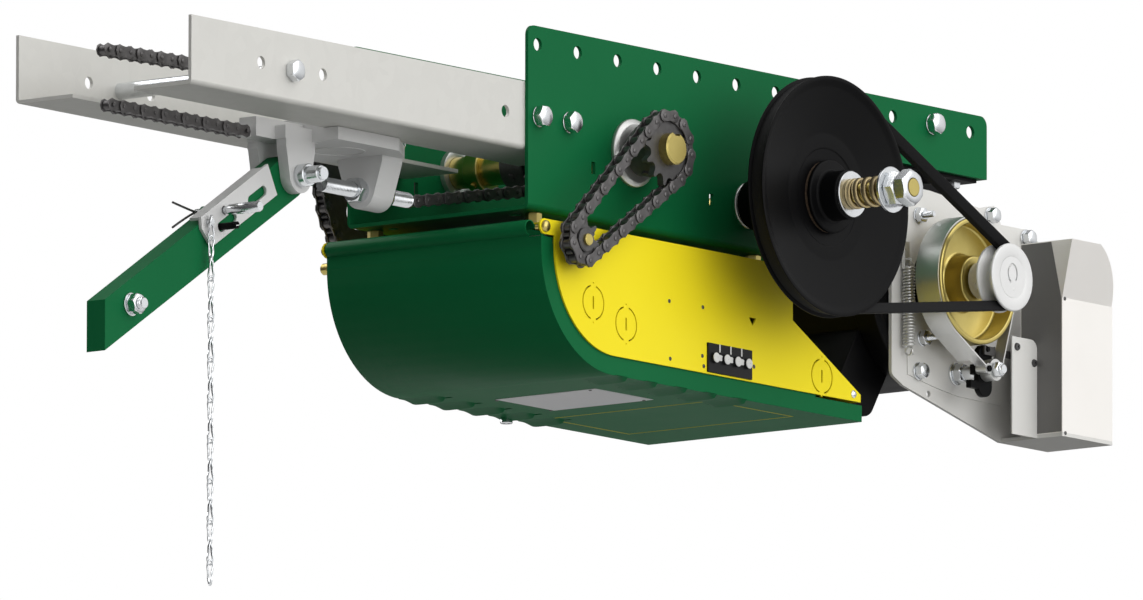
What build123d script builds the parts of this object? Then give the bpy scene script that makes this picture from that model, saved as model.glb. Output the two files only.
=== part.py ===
from build123d import *
import os
from math import acos, asin, atan2, ceil, cos, degrees, floor, hypot, pi, radians, sin, sqrt

# Commercial trolley door operator, in millimetres.
# X runs along the rails towards the motor end, Z is up, and the near side is -Y.
# The origin is the middle of the hanger hole row, on the chassis mid-plane.

os.makedirs("parts", exist_ok=True)

# Clearances
run_gap = 0.05  # radial, a shaft turning in its bearing
slide_gap = 0.3  # between pieces that slide or swing past each other
bolt_gap = 0.4  # radial, a bolt through a sheet hole

# Chassis channel
sheet = 3.0
half_width = 89.0
chassis_left = -291.6
chassis_right = 301.0
chassis_top = 14.5
chassis_floor = -130.0
step_x = 128.0
step_floor = -35.6
step_flange = 25.0
corner_radius = 8.0
bend_radius = 5.0
hanger_count = 12
hanger_pitch = 50.8
hanger_hole_d = 10.3
inner_half = half_width - sheet

# Rails
rail_sheet = 3.0
rail_left = -707.0
rail_right = -227.0
rail_top = -30.0
rail_bottom = -83.5
rail_flange = 56.0
rail_bolt_z = -56.5
rail_bolt_x = (-278.1, -240.0)
rail_free_holes = (-621.0, -544.5, -316.2)
rail_bolt_d = 8.0
bolt_head = 15.0
bolt_head_height = 7.0
nut_height = 6.5
spacer_x = -582.8
spacer_z = -58.4
spacer_d = 13.0
spacer_bore = 9.0
rail_inner = inner_half - rail_sheet

# Roller chain
pitch = 12.7
roller_d = 7.77
plate_height = 10.4
plate_thick = 1.3
chain_pin_d = 3.9
chain_inner_width = 6.4
tooth_width = 5.8


def pitch_radius(teeth):
    return pitch / 2 / sin(pi / teeth)


# Drive shaft and trolley drive
drive_teeth = 10
drive_x = -159.6
drive_z = -70.8
drive_shaft_d = 25.4
drive_radius = pitch_radius(drive_teeth)
lower_run_z = drive_z - drive_radius
chain_left = -716.0

# Limit drive
limit_drive_teeth = 13
limit_teeth = 8
limit_angle = -141.8
limit_shaft_d = 9.5

# Reduction drive on the far side
big_teeth = 42
small_teeth = 10
reduction_angle = -8.9
reduction_plane = 153.0

# Clutch shaft
clutch_shaft_d = 19.0
clutch_thread_d = 15.9
clutch_near_end = -251.6
pulley_d = 189.0
pulley_front = -175.0
pulley_width = 14.5
washer_d = 36.2
washer_thick = 2.8
spring_d = 24.4
spring_wire = 5.2
spring_turns = 5
clutch_nut = 25.4
clutch_nut_height = 10.3

# Motor
motor_x = 218.4
motor_z = -131.1
motor_d = 162.8
motor_front = -97.0
motor_back = 100.0
bell_length = 20.0
motor_shaft_d = 15.9
motor_pulley_d = 54.0
motor_pulley_width = 17.0
belt_top_width = 11.2
belt_depth = 8.0
belt_radius_big = pulley_d / 2 - 2.5
belt_radius_small = motor_pulley_d / 2 - 1.4

# Brake
bracket_sheet = 3.0
bracket_front = motor_front - bracket_sheet
pad_rise = 1.0
drum_d = 100.6
drum_front = -143.0
drum_back = -118.0
band_thick = 1.2
lever_x = 242.9
lever_z = -198.8
lever_front = -131.0
lever_thick = 5.0
rod_rise = 17.0
rod_d = 6.0
link_pin_r = 2.0
cover_left = 304.0
cover_right = 370.3
cover_front = -161.0
cover_back = -120.0
cover_bottom = -246.1
cover_fold_z = -135.6
cover_top = -89.6
cover_sheet = 1.2

# Electrical box
box_half = 107.5
limit_plane = -box_half - 14.5
drive_near_end = limit_plane - 11.6
box_sheet = 1.5
box_top = -139.7
box_plate_bottom = -237.1
box_arc_x = -205.0
box_arc_z = -161.0
box_arc_radius = 91.0
box_right = 111.0
box_cover_right = 115.0
box_notch_x = 23.0
box_notch_z = -182.3
tab_x = -293.9
tab_z = -145.8
louver_count = 5
louver_pitch = 38.0

# Trolley and arm
pivot_x = -486.9
pivot_z = -121.8
pivot_d = 9.9
ear_thick = 9.6
arm_thick = 18.0
arm_width = 33.6
arm_angle = 31.9
arm_end_x = -715.0
arm_wall = 2.5
lug_back = -364.0
lug_thick = 25.0
take_up_z = -120.2
take_up_d = 12.0
plate_bottom = -93.7
nose_front = -529.0


def xz(y, x=0.0, z=0.0):
    """A plane facing the viewer: local x is X, local y is Z, and it extrudes towards -Y."""
    return Plane(origin=(x, y, z), x_dir=(1, 0, 0), z_dir=(0, -1, 0))


def yz(x, y=0.0, z=0.0):
    """A plane facing +X: local x is Y, local y is Z."""
    return Plane(origin=(x, y, z), x_dir=(0, 1, 0), z_dir=(1, 0, 0))


def disc(plane, radius, thickness, mode=Mode.ADD):
    with BuildSketch(plane) as outline:
        Circle(radius)
    extrude(outline.sketch, amount=thickness, mode=mode)


def hexagon(plane, across_flats, thickness, turn=0.0):
    with BuildSketch(plane) as outline:
        RegularPolygon(radius=across_flats / sqrt(3), side_count=6, rotation=turn)
    extrude(outline.sketch, amount=thickness)


def box_between(low, high, mode=Mode.ADD):
    middle = [(a + b) / 2 for a, b in zip(low, high)]
    with Locations(tuple(middle)):
        Box(high[0] - low[0], high[1] - low[1], high[2] - low[2], mode=mode)


def sprocket_outline(teeth, phase):
    """Points of a tooth wheel. phase is the angle of one roller seat, in degrees."""
    radius = pitch_radius(teeth)
    root = radius - roller_d / 2 - 0.25
    tip = radius + 2.9
    points = []
    for i in range(teeth):
        middle = radians(phase) + (i + 0.5) * 2 * pi / teeth
        for reach, half in ((root, -2.7), (tip, -1.0), (tip, 1.0), (root, 2.7)):
            angle = middle + half / reach
            points.append((reach * cos(angle), reach * sin(angle)))
    return points


def sprocket(plane, teeth, phase, bore):
    """A tooth wheel, tooth_width thick, centred on its plane."""
    middle = plane.offset(-tooth_width / 2)
    with BuildSketch(middle) as outline:
        with BuildLine():
            Polyline(*sprocket_outline(teeth, phase), close=True)
        make_face()
        Circle(bore, mode=Mode.SUBTRACT)
    extrude(outline.sketch, amount=tooth_width)


def loop_drive(teeth_a, seats_a, teeth_b, seats_b, links):
    """Centre distance and pin points of a closed chain on two sprockets, a at (0, 0), b at (c, 0)."""
    ra = pitch_radius(teeth_a)
    rb = pitch_radius(teeth_b)
    half_a = (seats_a - 1) * pi / teeth_a
    half_b = (seats_b - 1) * pi / teeth_b
    straight = (links - seats_a - seats_b) // 2 + 1
    rise = ra * sin(half_a) - rb * sin(half_b)
    centre = sqrt((straight * pitch) ** 2 - rise ** 2) - ra * cos(half_a) - rb * cos(half_b)
    seats = [pi - half_a + i * 2 * pi / teeth_a for i in range(seats_a)]
    points = [(ra * cos(a), ra * sin(a)) for a in seats]
    first_b = [-half_b + i * 2 * pi / teeth_b for i in range(seats_b)]
    on_b = [(centre + rb * cos(a), rb * sin(a)) for a in first_b]
    lower = between(points[-1], on_b[0], straight)
    upper = between(on_b[-1], points[0], straight)
    return centre, points + lower + on_b + upper


def between(start, end, parts):
    """The points that divide a straight stretch into equal parts, its ends left out."""
    return [
        (start[0] + (end[0] - start[0]) * i / parts, start[1] + (end[1] - start[1]) * i / parts)
        for i in range(1, parts)
    ]


def placed(points, x, z, angle):
    """Points turned by angle in degrees and moved to (x, z)."""
    c = cos(radians(angle))
    s = sin(radians(angle))
    return [(x + c * px - s * pz, z + s * px + c * pz) for px, pz in points]


def link_plates(pairs, y_low, y_high):
    """One layer of link plates, a long hexagon for each pair of pins."""
    reach = pitch / 2 + plate_height / 2
    flat = pitch / 2 + 1.4
    half = plate_height / 2
    outline = [(-reach, 0), (-flat, half), (flat, half), (reach, 0), (flat, -half), (-flat, -half)]
    plates = []
    for (xa, za), (xb, zb) in pairs:
        tilt = degrees(atan2(zb - za, xb - xa))
        with BuildSketch(xz(y_high)) as plate:
            with Locations(Location(((xa + xb) / 2, (za + zb) / 2, 0), (0, 0, tilt))):
                Polygon(*outline)
        plates.append(extrude(plate.sketch, amount=y_high - y_low))
    return plates


def chain_solids(points, y_middle, closed=False, first_layer=0, no_roller=()):
    """Link plates and rollers of a roller chain through the pin points, as separate solids.

    first_layer is 0 where the first link is an inner one. no_roller lists the pins left without a roller.
    """
    pairs = list(zip(points, points[1:]))
    if closed:
        pairs.append((points[-1], points[0]))
    face = chain_inner_width / 2
    solids = []
    for layer in (0, 1):
        chosen = pairs[(layer + first_layer) % 2::2]
        for side in (-1, 1):
            middle = y_middle + side * (face + plate_thick * (layer + 0.5))
            solids += link_plates(chosen, middle - plate_thick / 2, middle + plate_thick / 2)
    for i, (x, z) in enumerate(points):
        if i not in no_roller:
            with BuildSketch(xz(y_middle + face)) as outline:
                with Locations((x, z)):
                    RegularPolygon(radius=roller_d / 2, side_count=6)
            solids.append(extrude(outline.sketch, amount=chain_inner_width))
    return solids


def end_pin(x, z):
    """The pin that joins a chain end to its tongue."""
    half = chain_inner_width / 2 + 2 * plate_thick
    with BuildSketch(xz(half, x, z)) as outline:
        RegularPolygon(radius=chain_pin_d / 2, side_count=6)
    return extrude(outline.sketch, amount=2 * half)


def write_group(solids, name):
    """Write a group of separate solids as one node."""
    group = Compound(label=name, children=[s.solid() if hasattr(s, "solid") else s for s in solids])
    export_step(group, f"parts/{name}.step")


# Shaft places that follow from the chains
limit_centre, limit_loop = loop_drive(limit_drive_teeth, 8, limit_teeth, 4, 32)
limit_x = drive_x + limit_centre * cos(radians(limit_angle))
limit_z = drive_z + limit_centre * sin(radians(limit_angle))
reduction_centre, reduction_loop = loop_drive(big_teeth, 28, small_teeth, 4, 52)
clutch_x = drive_x + reduction_centre * cos(radians(reduction_angle))
clutch_z = drive_z + reduction_centre * sin(radians(reduction_angle))

# Bearing sizes: flange radius, flange thickness, and hub radius in the sheet
drive_bearing = (26.8, 7.5, 19.0)
clutch_bearing = (18.4, 3.7, 14.0)
limit_bearing = (9.0, 3.0, 7.0)

# Chassis frame
with BuildPart() as chassis:
    with BuildSketch(yz(chassis_left)) as channel:
        with BuildLine():
            Polyline((-half_width, chassis_top), (-half_width, chassis_floor), (half_width, chassis_floor),
                     (half_width, chassis_top), (inner_half, chassis_top), (inner_half, chassis_floor + sheet),
                     (-inner_half, chassis_floor + sheet), (-inner_half, chassis_top), close=True)
        make_face()
        fillet(channel.vertices().group_by(Axis.Y)[0], bend_radius)
        inside_bends = [v for v in channel.vertices() if abs(v.Y - chassis_floor - sheet) < 0.01]
        fillet(inside_bends, bend_radius - sheet)
    extrude(amount=step_x - chassis_left)
    for side in (-1, 1):
        outer = side * half_width
        inner = side * inner_half
        low_y = min(outer, inner)
        high_y = max(outer, inner)
        box_between((step_x, low_y, step_floor), (chassis_right, high_y, chassis_top))
        lip = side * (inner_half - step_flange)
        box_between((step_x, min(lip, inner), step_floor), (chassis_right, max(lip, inner), step_floor + sheet))
    top_corners = chassis.edges().filter_by(Axis.Y).group_by(Axis.Z)[-1]
    fillet(top_corners, corner_radius)
    with BuildSketch(xz(half_width + 1)) as hanger_holes:
        with GridLocations(hanger_pitch, 0, hanger_count, 1):
            Circle(hanger_hole_d / 2)
    extrude(hanger_holes.sketch, amount=2 * half_width + 2, mode=Mode.SUBTRACT)
    with BuildSketch(xz(half_width + 1)) as side_holes:
        for x in rail_bolt_x:
            with Locations((x, rail_bolt_z)):
                Circle(rail_bolt_d / 2 + bolt_gap)
        with Locations((drive_x, drive_z)):
            Circle(drive_bearing[2])
        with Locations((clutch_x, clutch_z)):
            Circle(clutch_bearing[2])
        with Locations((-208.6, -88.2), (-58.0, -94.8)):
            Rectangle(5, 9.5)
    extrude(side_holes.sketch, amount=2 * half_width + 2, mode=Mode.SUBTRACT)
    with BuildSketch(Plane.XY.offset(chassis_floor - 1)) as floor_openings:
        with Locations((-159.6, 0), (46.0, 0)):
            RectangleRounded(90, 84, 8)
        with Locations((-270, 60), (-270, -60), (10, 60), (10, -60)):
            Circle(4.4)
    extrude(floor_openings.sketch, amount=sheet + 2, mode=Mode.SUBTRACT)
    with BuildSketch(Plane.XY.offset(step_floor - 1)) as mount_holes:
        with Locations((160, -72), (276, -72), (160, 72), (276, 72)):
            Circle(4.4)
    extrude(mount_holes.sketch, amount=sheet + 2, mode=Mode.SUBTRACT)
chassis.part.label = "chassis_frame"
export_step(chassis.part, "parts/chassis_frame.step")

# Near rail, and the far rail as its mirror image
with BuildPart() as near_rail:
    with BuildSketch(yz(rail_left)) as angle:
        with Locations((-inner_half, rail_bottom)):
            Rectangle(rail_sheet, rail_top - rail_bottom, align=(Align.MIN, Align.MIN))
            Rectangle(rail_flange, rail_sheet, align=(Align.MIN, Align.MIN))
        fillet(angle.vertices().sort_by_distance((-inner_half, rail_bottom, 0))[0], 4)
    extrude(amount=rail_right - rail_left)
    with BuildSketch(xz(-rail_inner + 1)) as rail_holes:
        for x in rail_free_holes + rail_bolt_x:
            with Locations((x, rail_bolt_z)):
                Circle(4.85 if x in rail_free_holes else rail_bolt_d / 2 + bolt_gap)
        with Locations((spacer_x, spacer_z)):
            Circle(rail_bolt_d / 2 + bolt_gap)
    extrude(rail_holes.sketch, amount=rail_sheet + 2, mode=Mode.SUBTRACT)
near_rail.part.label = "near_rail"
export_step(near_rail.part, "parts/near_rail.step")

with BuildPart() as far_rail:
    add(mirror(near_rail.part, about=Plane.XZ, mode=Mode.PRIVATE))
far_rail.part.label = "far_rail"
export_step(far_rail.part, "parts/far_rail.step")

with BuildPart() as spacer_tube:
    disc(xz(rail_inner, spacer_x, spacer_z), spacer_d / 2, 2 * rail_inner)
    disc(xz(rail_inner, spacer_x, spacer_z), spacer_bore / 2, 2 * rail_inner, mode=Mode.SUBTRACT)
spacer_tube.part.label = "rail_spacer_tube"
export_step(spacer_tube.part, "parts/rail_spacer_tube.step")


def frame_bolt(x, z, side, outer, inner, shank_d):
    """A hex bolt along Y through the frame, its head outside and its nut inside; side is -1 near, 1 far."""
    reach = outer - inner + nut_height + 1
    near = side < 0
    with BuildPart() as bolt:
        hexagon(xz(-outer if near else outer + bolt_head_height, x, z), bolt_head, bolt_head_height)
        disc(xz(reach - outer if near else outer, x, z), shank_d / 2, reach)
        hexagon(xz(nut_height - inner if near else inner, x, z), bolt_head - 2, nut_height)
    return bolt.part


frame_bolts = []
for bolt_x in rail_bolt_x:
    for side in (-1, 1):
        frame_bolts.append(frame_bolt(bolt_x, rail_bolt_z, side, half_width, rail_inner, rail_bolt_d))
with BuildPart() as spacer_bolt:
    hexagon(xz(-inner_half, spacer_x, spacer_z), bolt_head, bolt_head_height)
    disc(xz(inner_half + nut_height + 2, spacer_x, spacer_z), rail_bolt_d / 2, 2 * inner_half + nut_height + 2)
    hexagon(xz(inner_half + nut_height, spacer_x, spacer_z), bolt_head - 2, nut_height)
frame_bolts.append(spacer_bolt.part)
hanger_bolt_x = 4.5 * hanger_pitch
frame_bolts.append(frame_bolt(hanger_bolt_x, 0, -1, half_width, inner_half, hanger_hole_d - 2 * bolt_gap))
write_group(frame_bolts, "frame_bolts")

# Trolley
ear_inner = arm_thick / 2 + slide_gap
ear_outer = ear_inner + ear_thick
rail_inner_edge = inner_half - rail_flange
lug_front = lug_back - lug_thick
with BuildPart() as trolley:
    # Plate under the rail flanges, tapered at the back
    with BuildSketch(Plane.XY.offset(plate_bottom)) as slab:
        with BuildLine():
            Polyline((-473, -44.6), (-397, -44.6), (lug_back, -24), (lug_back, 24), (-397, 44.6), (-473, 44.6),
                     close=True)
        make_face()
    extrude(slab.sketch, amount=rail_bottom - slide_gap - plate_bottom)
    # Neck between the flanges and guide plate on top of them
    neck = rail_inner_edge - 0.5
    guide_low = rail_bottom + rail_sheet + slide_gap
    box_between((-470, -neck, plate_bottom + 5), (-400, neck, guide_low))
    box_between((-470, -46, guide_low), (-400, 46, guide_low + 6))
    # Nose bar and the cross block that carries the ears
    box_between((nose_front, -8.3, -94.5), (-470, 8.3, -79.3))
    box_between((-506, -ear_outer, -94.5), (-466, ear_outer, -84))
    # Tongue for the front chain
    tongue = chain_inner_width / 2 - slide_gap / 2
    box_between((nose_front - 11, -tongue, lower_run_z - 4), (nose_front, tongue, lower_run_z + 4))
    for side in (-1, 1):
        start = -ear_inner if side < 0 else ear_outer
        with BuildSketch(xz(start)) as ear:
            with Locations((pivot_x, pivot_z)):
                Circle(13.5)
            with Locations((pivot_x, -97)):
                Rectangle(36, 6)
            make_hull()
        extrude(ear.sketch, amount=ear_thick)
    # Rear lug
    with BuildSketch(yz(lug_front)) as lug:
        with Locations((0, take_up_z)):
            Circle(14)
        with Locations((0, plate_bottom - 1)):
            Rectangle(44, 6)
        make_hull()
    extrude(lug.sketch, amount=lug_thick)
    disc(xz(ear_outer + 1, pivot_x, pivot_z), pivot_d / 2 + run_gap, 2 * ear_outer + 2, mode=Mode.SUBTRACT)
    disc(xz(tongue + 1, nose_front - 6.5, lower_run_z), chain_pin_d / 2 + run_gap, 2 * tongue + 2,
         mode=Mode.SUBTRACT)
    disc(yz(lug_front - 1, 0, take_up_z), take_up_d / 2, lug_thick + 2, mode=Mode.SUBTRACT)
trolley.part.label = "trolley_body"
export_step(trolley.part, "parts/trolley_body.step")

with BuildPart() as pivot_pin:
    disc(xz(ear_outer + 5, pivot_x, pivot_z), 8, 5)
    disc(xz(ear_outer, pivot_x, pivot_z), pivot_d / 2, 2 * ear_outer + 23.2)
    disc(xz(-ear_outer, pivot_x, pivot_z), 8.9, 9)
    disc(xz(-ear_outer - 9, pivot_x, pivot_z), 6.7, 11.8)
pivot_pin.part.label = "arm_pivot_pin"
export_step(pivot_pin.part, "parts/arm_pivot_pin.step")

# Chain runs of the trolley drive
rear_parts = 13
take_up_drop = lower_run_z - take_up_z
take_up_end = drive_x - sqrt((rear_parts * pitch) ** 2 - take_up_drop ** 2)
seat_angles = [90 - i * 360 / drive_teeth for i in range(6)]
wrap = [(drive_x + drive_radius * cos(radians(a)), drive_z + drive_radius * sin(radians(a))) for a in seat_angles]
rear_points = [wrap[-1]] + between(wrap[-1], (take_up_end, take_up_z), rear_parts) + [(take_up_end, take_up_z)]
bend_rise = spacer_z + spacer_d / 2 + plate_height / 2 + slide_gap
bend_parts = floor((drive_x - spacer_x) / pitch)
bend_end = (spacer_x + 4, bend_rise)
bend_reach = hypot(bend_end[0] - wrap[0][0], bend_end[1] - wrap[0][1])
upper_points = []
for i in range(1, bend_parts + 1):
    t = i * pitch / bend_reach
    upper_points.append((wrap[0][0] + t * (bend_end[0] - wrap[0][0]), wrap[0][1] + t * (bend_end[1] - wrap[0][1])))
last = upper_points[-1]
fall = -0.022
for i in range(1, floor((last[0] - chain_left) / pitch) + 1):
    upper_points.append((last[0] - i * pitch, last[1] + i * pitch * fall))
upper_points.reverse()
upper_points += wrap
front_pin = nose_front - 6.5
front_count = 2 * floor((front_pin - chain_left) / pitch / 2) - 1
front_points = [(front_pin - i * pitch, lower_run_z) for i in range(front_count + 1)]

last_layer = (len(upper_points) - 2) % 2
rear_count = len(rear_points)
write_group(chain_solids(upper_points, 0), "drive_chain_upper")
write_group(chain_solids(rear_points, 0, first_layer=1 - last_layer, no_roller=(0, rear_count - 1))
            + [end_pin(take_up_end, take_up_z)], "drive_chain_rear")
write_group(chain_solids(front_points, 0, no_roller=(0,)) + [end_pin(front_pin, lower_run_z)], "drive_chain_front")

with BuildPart() as take_up_bolt:
    disc(yz(-437, 0, take_up_z), take_up_d / 2 - run_gap, take_up_end - 6 + 437)
    hexagon(yz(lug_front - 10, 0, take_up_z), 18, 8)
    disc(yz(lug_front - 2, 0, take_up_z), 9, 2)
    hexagon(yz(lug_back, 0, take_up_z), 18, 8)
    disc(yz(lug_back + 8, 0, take_up_z), 5.8, take_up_end - 8 - lug_back - 8)
    end_half = chain_inner_width / 2 - slide_gap / 2
    box_between((take_up_end - 9, -end_half, take_up_z - 4), (take_up_end + 3.5, end_half, take_up_z + 4))
    disc(xz(end_half + 1, take_up_end, take_up_z), chain_pin_d / 2 + run_gap, 2 * end_half + 2, mode=Mode.SUBTRACT)
take_up_bolt.part.label = "take_up_bolt"
export_step(take_up_bolt.part, "parts/take_up_bolt.step")

# Door arm, laid out along its own axis: u from the pivot, v across it
arm_plane_turn = 180 + arm_angle
arm_dir = (-cos(radians(arm_angle)), -sin(radians(arm_angle)))
arm_side = (-sin(radians(arm_angle)), cos(radians(arm_angle)))


def on_arm(u, v):
    return (pivot_x + u * arm_dir[0] + v * arm_side[0], pivot_z + u * arm_dir[1] + v * arm_side[1])


def arm_profile(inset, end_x):
    """Outline of the arm seen from the near side, inset by a wall, its lower end cut upright."""
    half = arm_width / 2 - inset
    top_u = (end_x - pivot_x - half * arm_side[0]) / arm_dir[0]
    low_u = (end_x - pivot_x + half * arm_side[0]) / arm_dir[0]
    start_top = on_arm(0, half)
    start_low = on_arm(0, -half)
    tip = on_arm(-half, 0)
    end_top = on_arm(top_u, half)
    end_low = on_arm(low_u, -half)
    with BuildSketch() as outline:
        with BuildLine():
            Line(start_top, end_top)
            Line(end_top, end_low)
            Line(end_low, start_low)
            ThreePointArc(start_low, tip, start_top)
        make_face()
    return outline.sketch


latch_u = 92.0
latch_v = 14.2
latch_pin_d = 6.8
pin_boss_wall = 1.5
stop_u = 102.5
stop_v = 5.0
arm_bolt_u = 262.0
with BuildPart() as arm:
    with BuildSketch(xz(arm_thick / 2)) as solid_arm:
        add(arm_profile(0, arm_end_x))
    extrude(solid_arm.sketch, amount=arm_thick)
    with BuildSketch(xz(arm_thick / 2)) as hollow_arm:
        add(arm_profile(arm_wall, arm_end_x + arm_wall))
    extrude(hollow_arm.sketch, amount=arm_thick - arm_wall, mode=Mode.SUBTRACT)
    disc(xz(arm_thick / 2, pivot_x, pivot_z), 9, arm_thick)
    latch_x, latch_z = on_arm(latch_u, latch_v)
    disc(xz(arm_thick / 2, latch_x, latch_z), latch_pin_d / 2 + pin_boss_wall, arm_thick)
    disc(xz(arm_thick / 2 + 1, pivot_x, pivot_z), pivot_d / 2 + run_gap, arm_thick + 2, mode=Mode.SUBTRACT)
    disc(xz(arm_thick / 2 + 1, latch_x, latch_z), latch_pin_d / 2, arm_thick + 2, mode=Mode.SUBTRACT)
    bolt_at_x, bolt_at_z = on_arm(arm_bolt_u - 30, 0)
    disc(xz(arm_thick / 2 + 1, bolt_at_x, bolt_at_z), 4.75 + bolt_gap, arm_thick + 2, mode=Mode.SUBTRACT)
arm.part.label = "door_arm"
export_step(arm.part, "parts/door_arm.step")

with BuildPart() as arm_bolt:
    hexagon(xz(arm_thick / 2 + 6, bolt_at_x, bolt_at_z), 14.3, 6)
    disc(xz(arm_thick / 2, bolt_at_x, bolt_at_z), 4.75, arm_thick + 14)
    disc(xz(-arm_thick / 2, bolt_at_x, bolt_at_z), 9, 1.6)
    hexagon(xz(-arm_thick / 2 - 1.6, bolt_at_x, bolt_at_z), 14.3, 8)
arm_bolt.part.label = "arm_bolt"
export_step(arm_bolt.part, "parts/arm_bolt.step")

# Release latch: a plate beside the arm with a lip folded over its top edge
latch_sheet = 2.7
latch_face = -arm_thick / 2 - slide_gap
with BuildPart() as latch:
    corners = [on_arm(26, -3.5), on_arm(24, 22), on_arm(121, 22), on_arm(125, 14), on_arm(121, -3.5)]
    with BuildSketch(xz(latch_face)) as latch_plate:
        with BuildLine():
            Polyline(*corners, close=True)
        make_face()
        for u, v in ((49, 6.5), (stop_u - 9, stop_v)):
            with Locations(Location((*on_arm(u, v), 0), (0, 0, arm_plane_turn))):
                SlotOverall(26, 8, mode=Mode.SUBTRACT)
        with Locations(on_arm(latch_u, latch_v)):
            Circle(latch_pin_d / 2 + run_gap, mode=Mode.SUBTRACT)
        with Locations(on_arm(116, 15)):
            Circle(1.9, mode=Mode.SUBTRACT)
    extrude(latch_plate.sketch, amount=latch_sheet)
    lip_low = arm_width / 2 + 2.7
    with BuildSketch(xz(latch_face + 9)) as latch_lip:
        with BuildLine():
            Polyline(on_arm(30, lip_low), on_arm(30, 22), on_arm(121, 22), on_arm(121, lip_low), close=True)
        make_face()
    extrude(latch_lip.sketch, amount=9)
latch.part.label = "release_latch"
export_step(latch.part, "parts/release_latch.step")

# Release pin: a thick handle before the plate, a stem through the arm and a cotter behind it
pin_far_end = arm_thick / 2 + 7
cotter_d = 2.8
cotter_y = arm_thick / 2 + 4
handle_d = 8.4
with BuildPart() as release_pin:
    pin_shoulder = latch_face - latch_sheet - slide_gap
    disc(xz(pin_far_end, latch_x, latch_z), latch_pin_d / 2, pin_far_end - pin_shoulder)
    disc(xz(pin_shoulder, latch_x, latch_z), handle_d / 2, 35)
    disc(yz(latch_x - 10, cotter_y, latch_z), cotter_d / 2 + bolt_gap, 20, mode=Mode.SUBTRACT)
release_pin.part.label = "release_pin"
export_step(release_pin.part, "parts/release_pin.step")

# Stop pin in the latch's slot, and the cotter with its eye and two spread legs
stop_x, stop_z = on_arm(stop_u, stop_v)
with BuildPart() as stop_pin:
    disc(xz(-arm_thick / 2, stop_x, stop_z), 2.8, 19)
with BuildPart() as cotter:
    disc(yz(latch_x - 9, cotter_y, latch_z), cotter_d / 2, 9 + latch_pin_d / 2 + 1)
    eye_x = latch_x + latch_pin_d / 2 + 3.4
    disc(xz(cotter_y + 1.2, eye_x, latch_z), 3, 2.4)
    disc(xz(cotter_y + 2, eye_x, latch_z), 1.2, 4, mode=Mode.SUBTRACT)
    for rise in (4.5, -15):
        with BuildLine() as wire:
            Line((latch_x - 8, cotter_y, latch_z), (latch_x - 33, cotter_y, latch_z + rise))
        with BuildSketch(Plane(origin=wire.line @ 0, z_dir=wire.line % 0)) as section:
            RegularPolygon(radius=cotter_d / 2 - 0.2, side_count=6)
        sweep(section.sketch, path=wire.line)
write_group([stop_pin.part, cotter.part], "latch_pins")

# Pull chain: flat sash links, each turned a quarter from the last
pull_top_x, pull_top_z = on_arm(116, 15)
pull_y = latch_face - latch_sheet - 3.2 - slide_gap
link_length = 15.7
link_count = 18
with BuildPart() as chain_rivet:
    disc(xz(latch_face + 0.2, pull_top_x, pull_top_z), 1.85, latch_sheet + 0.2 + slide_gap)
with BuildPart() as pull_chain:
    for i in range(link_count):
        top = pull_top_z + 3.2 - i * link_length
        long_half = link_length / 2 + 2.4
        plane = xz(pull_y + 0.7, pull_top_x, top - link_length / 2) if i % 2 == 0 else \
            yz(pull_top_x - 0.7, pull_y, top - link_length / 2)
        with BuildSketch(plane) as link:
            Polygon((-3.2, -long_half + 2.5), (-3.2, long_half - 2.5), (0, long_half), (3.2, long_half - 2.5),
                    (3.2, -long_half + 2.5), (0, -long_half))
        extrude(link.sketch, amount=1.4)
write_group([chain_rivet.part, pull_chain.part], "pull_chain")

# Drive shaft with its keyway
far_wheel_face = reduction_plane + tooth_width / 2
with BuildPart() as drive_shaft:
    disc(xz(far_wheel_face + 6, drive_x, drive_z), drive_shaft_d / 2, far_wheel_face + 6 - drive_near_end)
    for collar_y in (-48, 66):
        disc(xz(collar_y, drive_x, drive_z), 17, 14)
    key_z = drive_z + drive_shaft_d / 2 - 3
    box_between((drive_x - 3.2, drive_near_end - 1, key_z), (drive_x + 3.2, drive_near_end + 24, key_z + 6),
                mode=Mode.SUBTRACT)
drive_shaft.part.label = "drive_shaft"
export_step(drive_shaft.part, "parts/drive_shaft.step")


def flange_bearing(x, z, wall_outer, wall_inner, sizes, bore, side):
    """A flanged bearing in one wall: flange outside, hub through the sheet, collar inside."""
    flange_r, flange_t, hub_r = sizes
    with BuildPart() as bearing:
        if side < 0:
            disc(xz(wall_outer, x, z), flange_r, flange_t)
            disc(xz(wall_inner + 4, x, z), hub_r - 0.1, wall_inner + 4 - wall_outer)
        else:
            disc(xz(wall_outer + flange_t, x, z), flange_r, flange_t)
            disc(xz(wall_outer, x, z), hub_r - 0.1, wall_outer - wall_inner + 4)
        disc(xz(wall_outer + 40, x, z), bore, 80, mode=Mode.SUBTRACT)
    return bearing.part


bearings = []
for side in (-1, 1):
    outer = side * half_width
    inner = side * inner_half
    bearings.append(flange_bearing(drive_x, drive_z, outer, inner, drive_bearing, drive_shaft_d / 2 + run_gap, side))
    bearings.append(
        flange_bearing(clutch_x, clutch_z, outer, inner, clutch_bearing, clutch_shaft_d / 2 + run_gap, side))
    bearings.append(
        flange_bearing(limit_x, limit_z, side * box_half, side * (box_half - box_sheet), limit_bearing,
                       limit_shaft_d / 2 + run_gap, side))
write_group(bearings, "shaft_bearings")


def hub(x, z, y_high, y_low, radius, bore):
    """A hub ring along Y with a set screw hole left to its finish."""
    disc(xz(y_high, x, z), radius, y_high - y_low)
    disc(xz(y_high + 1, x, z), bore, y_high - y_low + 2, mode=Mode.SUBTRACT)


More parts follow.
